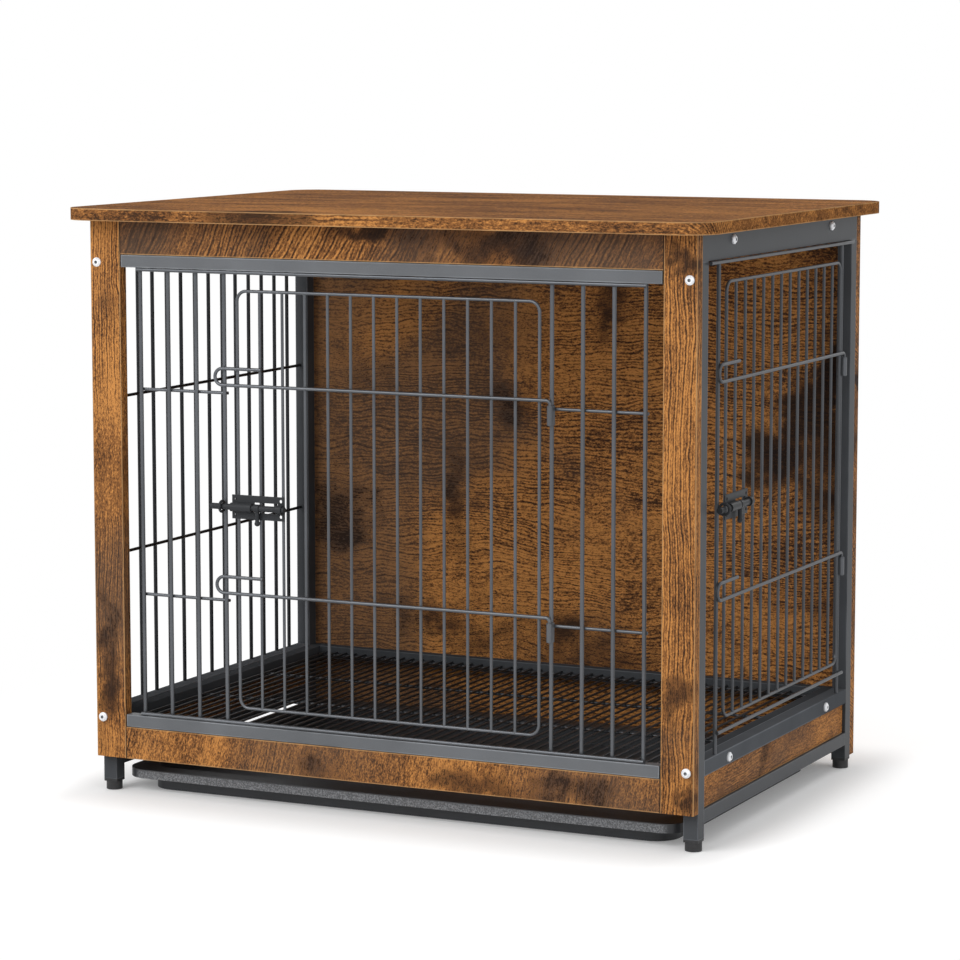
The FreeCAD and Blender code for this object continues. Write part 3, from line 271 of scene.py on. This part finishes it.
class CrateSteel(PropertyGroup):
    """Powder-coated tubes and wires."""
    coat: colour("Coat", "Dark grey powder coat of the tubes", (0.060, 0.064, 0.070))
    # The front tubes have the same coat as the other tubes; this paler copy of it is painted light falling on
    # their front faces.
    tube: colour("Front tube coat", "Paler grey coat of the two tubes across the front", (0.145, 0.152, 0.162))
    wire: colour("Wire coat", "Dark grey coat of the wires", (0.118, 0.124, 0.134))
    latch: colour("Latch coat", "Black coat of the latches", (0.036, 0.038, 0.041))
    zinc: colour("Zinc", "Plated bolts, nuts and screws", (0.95, 0.97, 1.00))
    roughness: factor("Roughness", "Roughness of the powder coat", 0.36)
    grain: length("Coat grain", "Size of the coat's orange-peel grain", 0.0012)
    rounding: length("Rounding", "Rounding of the tubes' edges", 0.0014)
    bolt_head: length("Bolt head", "Radius of the bolts' button heads", 0.0046)


class CratePlastic(PropertyGroup):
    """Tray and feet."""
    tray: colour("Tray", "Dark grey of the tray", (0.030, 0.032, 0.036))
    lip: colour("Lip", "Paler, grained lip of the tray", (0.165, 0.170, 0.180))
    feet: colour("Feet", "Black plugs and feet", (0.014, 0.014, 0.015))
    grain: length("Lip grain", "Size of the grain on the tray's lip", 0.0016)


class CrateStage(PropertyGroup):
    """Floor, light and camera."""
    floor: colour("Floor", "Pale studio floor", (0.86, 0.86, 0.86))
    lens: FloatProperty(
        name="Lens", description="Focal length on a 36 mm sensor", unit="CAMERA", default=126.96)
    turn: FloatProperty(
        name="Turn", description="Camera round to the right of the front", subtype="ANGLE",
        default=math.radians(25.382))
    pitch: FloatProperty(
        name="Pitch", description="Camera looking down", subtype="ANGLE", default=math.radians(7.217))
    eye: FloatVectorProperty(
        name="Eye", description="Place of the camera", subtype="TRANSLATION", unit="LENGTH", size=3,
        default=(1.4745, -3.1143, 0.7470))


class Value:
    """A shader socket that takes part in Python expressions."""

    def __init__(self, shader, socket):
        self.shader = shader
        self.socket = socket

    def maths(self, operation, first, second):
        return self.shader.node("ShaderNodeMath", {"operation": operation}, {0: first, 1: second})

    def __add__(self, other):
        return self.maths("ADD", self, other)

    def __sub__(self, other):
        return self.maths("SUBTRACT", self, other)

    def __rsub__(self, other):
        return self.maths("SUBTRACT", other, self)

    def __mul__(self, other):
        return self.maths("MULTIPLY", self, other)

    def __pow__(self, other):
        return self.maths("POWER", self, other)

    def lowest(self, other):
        return self.maths("MINIMUM", self, other)

    def highest(self, other):
        return self.maths("MAXIMUM", self, other)

    def size(self):
        return self.maths("ABSOLUTE", self, 0)

    def centred(self):
        """A value from 0 to 1, moved to lie around 0."""
        return self - NOISE_MIDDLE

    def wave(self):
        """A sine of this angle, from 0 to 1."""
        return self.maths("SINE", self, 0) * 0.5 + 0.5

    def rise(self, start, end):
        """0 below start, 1 above end, smooth between; the other way round when end is the lower one."""
        settings = {"interpolation_type": "SMOOTHSTEP"}
        sockets = {"Value": self, "From Min": start, "From Max": end}
        return self.shader.node("ShaderNodeMapRange", settings, sockets)


class Shader:
    """The nodes of one material or world."""

    def __init__(self, owner):
        self.owner = owner
        owner.use_nodes = True
        self.tree = owner.node_tree
        self.tree.nodes.clear()

    def node(self, kind, settings, sockets, out=0):
        node = self.tree.nodes.new(kind)
        for name, value in settings.items():
            setattr(node, name, value)
        for name, value in sockets.items():
            if isinstance(value, Value):
                self.tree.links.new(value.socket, node.inputs[name])
            else:
                node.inputs[name].default_value = value
        return Value(self, node.outputs[out]) if node.outputs else None

    def place(self):
        """Object coordinates and their three parts, in metres."""
        point = self.node("ShaderNodeTexCoord", {}, {}, "Object")
        return point, [self.node("ShaderNodeSeparateXYZ", {}, {0: point}, letter) for letter in "XYZ"]

    def vector(self, x, y, z):
        return self.node("ShaderNodeCombineXYZ", {}, {0: x, 1: y, 2: z})

    def noise(self, vector, scale, detail, roughness, distortion=0.0):
        sockets = {
            "Vector": vector, "Scale": scale, "Detail": detail, "Roughness": roughness,
            "Distortion": distortion}
        return self.node("ShaderNodeTexNoise", {}, sockets)

    def mix(self, share, first, second):
        return self.node("ShaderNodeMix", {"data_type": "RGBA"}, {0: share, 6: first, 7: second}, 2)

    def bump(self, height, distance, strength=1.0, rounding=0):
        """Relief of a height; with a rounding, the light also catches the sharp edges."""
        sockets = {"Height": height, "Distance": distance, "Strength": strength}
        if rounding:
            sockets["Normal"] = self.node("ShaderNodeBevel", {"samples": BEVEL_SAMPLES}, {"Radius": rounding})
        return self.node("ShaderNodeBump", {}, sockets)

    def seen(self):
        """1 for rays that show the background: from the camera, or by way of a reflection or glass."""
        camera, glossy, glass = (
            self.node("ShaderNodeLightPath", {}, {}, f"Is {kind} Ray")
            for kind in ("Camera", "Glossy", "Transmission"))
        return camera.highest(glossy).highest(glass)

    def finish(self, sockets):
        """Close the material with one principled surface."""
        surface = self.node("ShaderNodeBsdfPrincipled", {}, sockets)
        self.node("ShaderNodeOutputMaterial", {}, {"Surface": surface})
        return self.owner


def solid(values, share=1.0):
    """A colour socket's value, with the colour multiplied by a share."""
    return (*(value * share for value in values), 1.0)


def scaled(values, share):
    return tuple(value * share for value in values)


def distance(first, second):
    return (first * first + second * second) ** 0.5


def dress(name, material):
    """Give a node of the frame its material, in place of the packed one."""
    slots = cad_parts[name].data.materials
    slots.clear()
    slots.append(material)


def edge_nearness(parts, low, high):
    """Depth of a point under each pair of a box's faces."""
    middles = [(a + b) / 2 for a, b in zip(low, high)]
    return [(b - middle) - (part - middle).size() for part, middle, b in zip(parts, middles, high)]


def board_edge(near, order, corner):
    """Depth of a point under a board's long edges, or under its outline when it has round corners."""
    if not corner:
        return near[order[1]].highest(near[order[2]])
    in_x, in_y = ((corner - near[axis]).highest(0) for axis in (0, 1))
    return (corner - distance(in_x, in_y)).highest(near[2])


def scorch_marks(shader, board, run, across, deep):
    """A board's patches with torn outlines, each with its weight in the middle and less outwards."""
    seed = board["seed"]
    places = (
        shader.vector(run * TEAR_SCALE + seed, across * TEAR_SCALE, deep * TEAR_SCALE),
        shader.vector(run * TEAR_SCALE, across * TEAR_SCALE + seed, deep * TEAR_SCALE))
    torn_run, torn_across = (
        shader.noise(place, 1, *TEAR_NOISE).centred() * reach for place, reach in zip(places, TEAR_REACH))
    mark = 0
    for at_run, at_across, half_run, half_across, weight in board["patches"]:
        off_run = (run - at_run + torn_run) * (1 / half_run)
        off_across = (across - at_across + torn_across) * (1 / half_across)
        mark = ((1 - (off_run * off_run + off_across * off_across) * PATCH_FALL) * weight).highest(mark)
    return mark


def rustic_wood(name, box, board):
    """Printed rustic board: wavy growth lines, specks, scorched patches and pale long edges."""
    look = bpy.context.scene.crate_wood
    board = {**PLAIN_BOARD, **board}
    shader = Shader(bpy.data.materials.new(name))
    _, parts = shader.place()
    order = ["xyz".index(letter) for letter in board["axes"]]
    run, across, deep = (parts[axis] for axis in order)
    mark = scorch_marks(shader, board, run, across, deep)
    tilt = math.radians(board["tilt"])
    along = run * math.cos(tilt) + across * math.sin(tilt) + board["seed"]
    aside = across * math.cos(tilt) - run * math.sin(tilt) + board["seed"] * SEED_ACROSS
    deep = deep - board["seed"] * SEED_DEEP

    def layer(kind, sideways, shift=0):
        along_scale, across_scale, *noise = LAYERS[kind]
        place = shader.vector(along * along_scale + shift, sideways * across_scale, deep * across_scale)
        return shader.noise(place, 1, *noise)

    sway = layer("sway", aside).centred() * board["curl"]
    lines_at = aside + deep * LINE_LEAN + sway + layer("ripple", aside).centred() * LINE_RIPPLE
    phase = lines_at * (2 * math.pi / (look.line * board["pitch"]))
    lines = phase.wave() * WAVE_SHARES[0] + (phase * SECOND_WAVE).wave() * WAVE_SHARES[1]
    tone = layer("tone", lines_at)
    speck = layer("speck", aside)
    pores = layer("pores", lines_at)
    cloud = layer("cloud", aside)
    smoke = layer("smoke", aside, SMOKE_SHIFT) + run * board["fade"]
    drawn = (layer("drawn", aside, DRAWN_SHIFT) + board["drawn"]).rise(*DRAWN_RANGE)
    grain = speck.centred() * PALE["speck"] + layer("grit", aside).centred() * PALE["grit"]
    grain = grain * board["rough"]
    pale = tone + lines.centred() * (drawn * PALE["drawn"] + PALE["faint"]) + grain
    pale = pale - smoke.centred() * PALE["smoke"] + board["lift"]
    pale = pale + run * board["slope"] - cloud.centred() * board["blotch"]
    torn = cloud.centred() * TORN["cloud"] + mark * TORN["mark"] + tone.centred() * TORN["tone"]
    torn = torn + lines.centred() * drawn * TORN["lines"] + grain * TORN["grain"]
    scorched = torn.rise(*(limit - board["burn"] for limit in SCORCHED_RANGE))

    face = shader.mix(pale.rise(*MIDDLE_RANGE), solid(look.deep), solid(look.middle))
    face = shader.mix(pale.rise(*LIGHT_RANGE), face, solid(look.light))
    greyed = (smoke + board["smoke"]).rise(*SMOKED_RANGE)
    face = shader.mix(greyed * COVER["smoked"], face, solid(look.smoked))
    face = shader.mix(scorched * COVER["scorched"], face, solid(look.burnt))
    dark_lines = lines.rise(*DARK_LINE_RANGE) * drawn
    shade = pores.rise(*PORE_RANGE) * COVER["pore"] + dark_lines * COVER["line"]
    face = shader.mix(shade, face, solid(look.burnt, PORE_COLOUR))
    near = edge_nearness(parts, *box)
    edge = board_edge(near, order, board["corner"])
    worn = 1 - edge.rise(*scaled(EDGE_LINE, look.edge_width))
    worn = worn * (tone.rise(*WORN_TONE_RANGE) * COVER["edge_tone"] + COVER["edge"])
    face = shader.mix(worn, face, solid(look.edge))
    if board["jointed"]:
        joint = 1 - near[order[0]].rise(*scaled(JOINT_LINE, look.edge_width))
        face = shader.mix(joint, face, solid(look.burnt))
    relief = pores * 0.5 + lines * 0.25 + speck * 0.25
    return shader.finish({
        "Base Color": face,
        "Roughness": pores.centred() * 0.14 + scorched * 0.10 + look.roughness,
        "Specular IOR Level": board["gloss"],
        "Normal": shader.bump(relief, distance=0.00016, strength=0.6, rounding=look.rounding),
    })


def powder_coat(name, paint, grain, edge_box=None, sheen=0.0, gloss=COAT_GLOSS):
    """Satin powder coat with a fine orange-peel grain; with a box, its edges are rounded and rubbed pale."""
    look = bpy.context.scene.crate_steel
    shader = Shader(bpy.data.materials.new(name))
    point, parts = shader.place()
    peel = shader.noise(point, 1 / grain, *COAT_PEEL)
    drift = shader.noise(point, *COAT_DRIFT)
    speck = shader.noise(point, SPECK_FINENESS / grain, *COAT_SPECK)
    tone = drift.rise(0.30, 0.70) * 0.7 + speck.rise(0.42, 0.70) * 0.3
    coat = shader.mix(tone, *(solid(paint, share) for share in COAT_SHARES))
    if edge_box:
        first, second, third = edge_nearness(parts, *edge_box)
        edge = first.lowest(second).highest(first.highest(second).lowest(third))
        # Pale edges: partly wear, partly a painted highlight.
        wear_and_highlight = (1 - edge.rise(*EDGE_WEAR_AND_HIGHLIGHT_BAND)) * drift.rise(0.30, 0.58)
        coat = shader.mix(wear_and_highlight * EDGE_WEAR_AND_HIGHLIGHT_COVER, coat, solid(paint, EDGE_WEAR_AND_HIGHLIGHT_SHARE))
    rounding = look.rounding if edge_box else 0
    return shader.finish({
        "Base Color": coat,
        "Metallic": sheen,
        "Specular IOR Level": gloss,
        "Roughness": drift.centred() * 0.12 + speck.centred() * 0.08 + look.roughness,
        "Normal": shader.bump(peel, distance=0.00012, strength=0.35, rounding=rounding),
    })


def zinc_plate(name, bolts=None):
    """Bright plating with a faint bloom; bolts give the box, plane and head radius of rows with dark sockets."""
    look = bpy.context.scene.crate_steel
    shader = Shader(bpy.data.materials.new(name))
    point, parts = shader.place()
    bloom = shader.noise(point, *ZINC_BLOOM)
    marks = shader.noise(point, *ZINC_MARKS)
    plating = shader.mix(bloom.rise(0.35, 0.65), solid(look.zinc, ZINC_DULL_SHARE), solid(look.zinc))
    if bolts:
        (low, high), (level, height), head = bolts
        off_level = parts[level].size() - (high[level] - head)
        off_low = (parts[height] - (low[height] + head)).size()
        off_high = (parts[height] - (high[height] - head)).size()
        reach = distance(off_level, off_low.lowest(off_high))
        # Painted shade: the socket's hollow is painted dark.
        socket = 1 - reach.rise(*scaled(SOCKET_SHADE_EDGE, head))
        plating = shader.mix(socket, plating, solid(look.zinc, SOCKET_SHADE_SHARE))
    return shader.finish({
        "Base Color": plating,
        "Metallic": ZINC_METALLIC,
        "Roughness": bloom.centred() * 0.14 + marks.centred() * 0.10 + ZINC_ROUGHNESS,
        "Normal": shader.bump(marks, distance=0.00005, strength=0.4),
    })


def beech(name):
    """Raw turned beech of the dowels."""
    shader = Shader(bpy.data.materials.new(name))
    _, (x, y, z) = shader.place()
    along, across = BEECH_SCALE
    fibre = shader.noise(shader.vector(x * along, y * across, z * across), 1, *BEECH_FIBRE)
    return shader.finish({
        "Base Color": shader.mix(fibre.rise(0.35, 0.65), solid(BEECH_DARK), solid(BEECH_PALE)),
        "Roughness": fibre.centred() * 0.2 + BEECH_ROUGHNESS,
        "Normal": shader.bump(fibre, distance=0.0001),
    })


def tray_plastic(name, box):
    """Smooth rolled top with a paler, grained lip and a leathery floor."""
    look = bpy.context.scene.crate_plastic
    low, high = box
    shader = Shader(bpy.data.materials.new(name))
    point, parts = shader.place()
    edge_x = high[0] - parts[0].size()
    edge_y = (high[1] - low[1]) / 2 - (parts[1] - (low[1] + high[1]) / 2).size()
    lip = 1 - edge_x.lowest(edge_y).rise(*LIP_DEPTH)
    below = 1 - parts[2].rise(*(high[2] - depth for depth in LIP_TOP))
    grained = lip * below
    grain = shader.noise(point, 1 / look.grain, *LIP_GRAIN)
    skin = shader.noise(point, *TRAY_SKIN)
    scuff = shader.noise(point, *TRAY_SCUFF)
    body = shader.mix(scuff.rise(0.35, 0.68), *(solid(look.tray, share) for share in TRAY_SHARES))
    sparkle = shader.mix(grain.rise(0.40, 0.66), *(solid(look.lip, share) for share in LIP_SHARES))
    relief = grain * grained * 1.6 + skin * 0.25
    return shader.finish({
        "Base Color": shader.mix(grained, body, sparkle),
        "Roughness": scuff.centred() * 0.14 + skin.centred() * 0.10 + TRAY_ROUGHNESS,
        "Normal": shader.bump(relief, distance=0.00030, strength=0.7),
    })


def foot_plastic(name):
    """Moulded plastic with a fine spark-eroded skin."""
    look = bpy.context.scene.crate_plastic
    shader = Shader(bpy.data.materials.new(name))
    point, _ = shader.place()
    skin = shader.noise(point, *FOOT_SKIN)
    scuff = shader.noise(point, *FOOT_SCUFF)
    scuffed = solid(look.feet, FOOT_SCUFF_SHARE)
    return shader.finish({
        "Base Color": shader.mix(scuff.rise(0.45, 0.75), solid(look.feet), scuffed),
        "Roughness": skin.centred() * 0.2 + FOOT_ROUGHNESS,
        "Normal": shader.bump(skin, distance=0.0001, strength=0.5),
    })


class CRATE_OT_boards(Operator):
    """Dress the wood boards"""
    bl_idname = "crate.boards"
    bl_label = "Boards"

    def execute(self, context):
        for name, board in BOARDS.items():
            dress(name, rustic_wood(f"{name}_wood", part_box(name), board))
        dress("front_dowels", beech("dowel_beech"))
        return {"FINISHED"}


class CRATE_OT_tubes(Operator):
    """Dress the posts, rails and brackets of square steel tube"""
    bl_idname = "crate.tubes"
    bl_label = "Posts and rails"

    def execute(self, context):
        look = context.scene.crate_steel
        sides = ("left", "right")
        outer = [f"post_{end}_{side}" for end in ("front", "rear") for side in sides]
        outer += [f"side_rail_{level}_{side}" for level in ("top", "low") for side in sides]
        inner = [f"floor_rail_{side}" for side in (*sides, "front", "rear")]
        middle = [f"side_rail_middle_{side}" for side in sides]
        front = ["front_tube_top", "front_tube_bottom"]
        self.coat(outer, look.coat, COAT_GLOSS)
        self.coat(inner, look.coat, 0.0)
        # Paler copy of the coat on the middle rails: painted light.
        self.coat(middle, scaled(look.coat, MIDDLE_RAIL_PAINTED_LIGHT), 0.0)
        # The front tubes get the paler copy of the coat: painted light.
        self.coat(front, look.tube, COAT_GLOSS)
        dress("tabletop_brackets", powder_coat("bracket_coat", look.coat, look.grain))
        return {"FINISHED"}

    def coat(self, names, paint, gloss):
        grain = bpy.context.scene.crate_steel.grain
        for name in names:
            dress(name, powder_coat(f"{name}_coat", paint, grain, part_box(name), gloss=gloss))


class CRATE_OT_wires(Operator):
    """Dress the wire panels, the doors and the wire floor"""
    bl_idname = "crate.wires"
    bl_label = "Wires"

    def execute(self, context):
        look = context.scene.crate_steel
        for share, names in WIRE_SHADE_SHARES.items():
            # Painted shade: each group's wires are painted darker by its share of the one wire colour.
            paint = scaled(look.wire, share)
            coat = powder_coat(f"{names[0]}_coat", paint, look.grain * WIRE_GRAIN, sheen=WIRE_SHEEN)
            for name in names:
                dress(name, coat)
        return {"FINISHED"}


class CRATE_OT_latches(Operator):
    """Dress the slide latches, their catches and the hinge sleeves"""
    bl_idname = "crate.latches"
    bl_label = "Latches and sleeves"

    def execute(self, context):
        look = context.scene.crate_steel
        black = powder_coat("latch_coat", look.latch, look.grain * LATCH_GRAIN)
        sleeve = powder_coat("sleeve_coat", look.wire, look.grain * WIRE_GRAIN, sheen=WIRE_SHEEN)
        for side in ("front", "side"):
            for piece in ("plate", "bolt", "catch"):
                dress(f"{side}_latch_{piece}", black)
            dress(f"{side}_hinge_sleeves", sleeve)
        return {"FINISHED"}


class CRATE_OT_fasteners(Operator):
    """Dress the bolts, nuts and screws"""
    bl_idname = "crate.fasteners"
    bl_label = "Bolts, nuts and screws"

    def execute(self, context):
        head = context.scene.crate_steel.bolt_head
        for name, plane in BOLT_ROWS.items():
            dress(name, zinc_plate(f"{name}_zinc", (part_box(name), plane, head)))
        zinc = zinc_plate("screw_zinc")
        for name in ("frame_nuts", "tabletop_screws", "side_board_screws", "front_tube_screws"):
            dress(name, zinc)
        return {"FINISHED"}


class CRATE_OT_plastics(Operator):
    """Dress the tray and the feet"""
    bl_idname = "crate.plastics"
    bl_label = "Tray and feet"

    def execute(self, context):
        dress("tray", tray_plastic("tray_plastic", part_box("tray")))
        dress("feet", foot_plastic("foot_plastic"))
        return {"FINISHED"}


class CRATE_OT_stage(Operator):
    """Lay the floor, hang the lights and set the camera"""
    bl_idname = "crate.stage"
    bl_label = "Stage"

    def execute(self, context):
        scene = context.scene
        scene.view_settings.view_transform = "Standard"
        self.floor(scene.crate_stage)
        self.world(scene)
        for name, (place, size, power) in LAMPS.items():
            self.lamp(scene, name, place, size, power)
        self.camera(scene, scene.crate_stage)
        return {"FINISHED"}

    def floor(self, look):
        bpy.ops.object.select_all(action="DESELECT")
        bpy.ops.mesh.primitive_plane_add(size=FLOOR_SIZE, location=(0, 0, -FLOOR_DROP))
        floor = bpy.context.object
        floor.name = "studio_floor"
        bpy.ops.object.transform_apply(location=True, rotation=False, scale=False)
        floor.data.materials.append(self.floor_material(look))

    def floor_material(self, look):
        """Diffuse to the light, and brighter where it is seen, up to white away from the feet."""
        shader = Shader(bpy.data.materials.new("studio_floor"))
        _, parts = shader.place()
        _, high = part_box("feet")
        out_x, out_y = ((parts[axis].size() - high[axis]).highest(0) for axis in (0, 1))
        out = distance(out_x * SIDE_STRETCH, out_y)
        near, far = (solid((level, level, level)) for level in GLOW)
        lift = shader.mix(out.rise(*GLOW_REACH), near, far)
        diffuse = shader.node("ShaderNodeBsdfDiffuse", {}, {"Color": solid(look.floor)})
        glow = shader.node("ShaderNodeEmission", {}, {"Color": lift, "Strength": 1.0})
        white = shader.node("ShaderNodeEmission", {}, {"Color": WHITE, "Strength": 1.0})
        shadowed = shader.node("ShaderNodeAddShader", {}, {0: diffuse, 1: glow})
        shown = shader.node("ShaderNodeMixShader", {}, {0: out.rise(*WHITE_REACH), 1: shadowed, 2: white})
        surface = shader.node("ShaderNodeMixShader", {}, {0: shader.seen(), 1: diffuse, 2: shown})
        shader.node("ShaderNodeOutputMaterial", {}, {"Surface": surface})
        return shader.owner

    def world(self, scene):
        scene.world = bpy.data.worlds.new("studio")
        shader = Shader(scene.world)
        strength = shader.seen() * (1 - WORLD_LIGHT) + WORLD_LIGHT
        light = shader.node("ShaderNodeBackground", {}, {"Color": WHITE, "Strength": strength})
        shader.node("ShaderNodeOutputWorld", {}, {"Surface": light})

    def lamp(self, scene, name, place, size, power):
        light = bpy.data.lights.new(name, "AREA")
        light.size = size
        light.energy = power
        lamp = bpy.data.objects.new(name, light)
        scene.collection.objects.link(lamp)
        lamp.location = place
        aim = lamp.location.copy()
        aim.z -= LAMP_AIM
        lamp.rotation_euler = aim.to_track_quat("Z", "Y").to_euler()

    def camera(self, scene, look):
        lens = bpy.data.cameras.new("photo_view")
        lens.lens = look.lens
        lens.sensor_width = SENSOR_MM
        lens.clip_end = CLIP_END
        camera = bpy.data.objects.new("photo_view", lens)
        scene.collection.objects.link(camera)
        camera.location = look.eye
        camera.rotation_euler = (math.pi / 2 - look.pitch, 0, look.turn)
        scene.camera = camera


STEPS = (
    CRATE_OT_boards, CRATE_OT_tubes, CRATE_OT_wires, CRATE_OT_latches, CRATE_OT_fasteners,
    CRATE_OT_plastics, CRATE_OT_stage,
)
LOOKS = {
    "crate_wood": CrateWood, "crate_steel": CrateSteel, "crate_plastic": CratePlastic,
    "crate_stage": CrateStage,
}


class CRATE_PT_looks(Panel):
    """Colours and finishes of the crate, and the steps that put them on"""
    bl_idname = "CRATE_PT_looks"
    bl_label = "Pet crate"
    bl_space_type = "VIEW_3D"
    bl_region_type = "UI"
    bl_category = "Crate"

    def draw(self, context):
        for name, group in LOOKS.items():
            column = self.layout.column(heading=group.__doc__)
            for setting in group.__annotations__:
                column.prop(getattr(context.scene, name), setting)
        for step in STEPS:
            self.layout.operator(step.bl_idname)


def register():
    for name, group in LOOKS.items():
        bpy.utils.register_class(group)
        setattr(bpy.types.Scene, name, PointerProperty(type=group))
    for step in (*STEPS, CRATE_PT_looks):
        bpy.utils.register_class(step)


def unregister():
    for step in (CRATE_PT_looks, *reversed(STEPS)):
        bpy.utils.unregister_class(step)
    for name, group in reversed(LOOKS.items()):
        delattr(bpy.types.Scene, name)
        bpy.utils.unregister_class(group)


def main():
    register()
    bpy.ops.crate.boards()
    bpy.ops.crate.tubes()
    bpy.ops.crate.wires()
    bpy.ops.crate.latches()
    bpy.ops.crate.fasteners()
    bpy.ops.crate.plastics()
    bpy.ops.crate.stage()


if __name__ == "__main__":
    main()
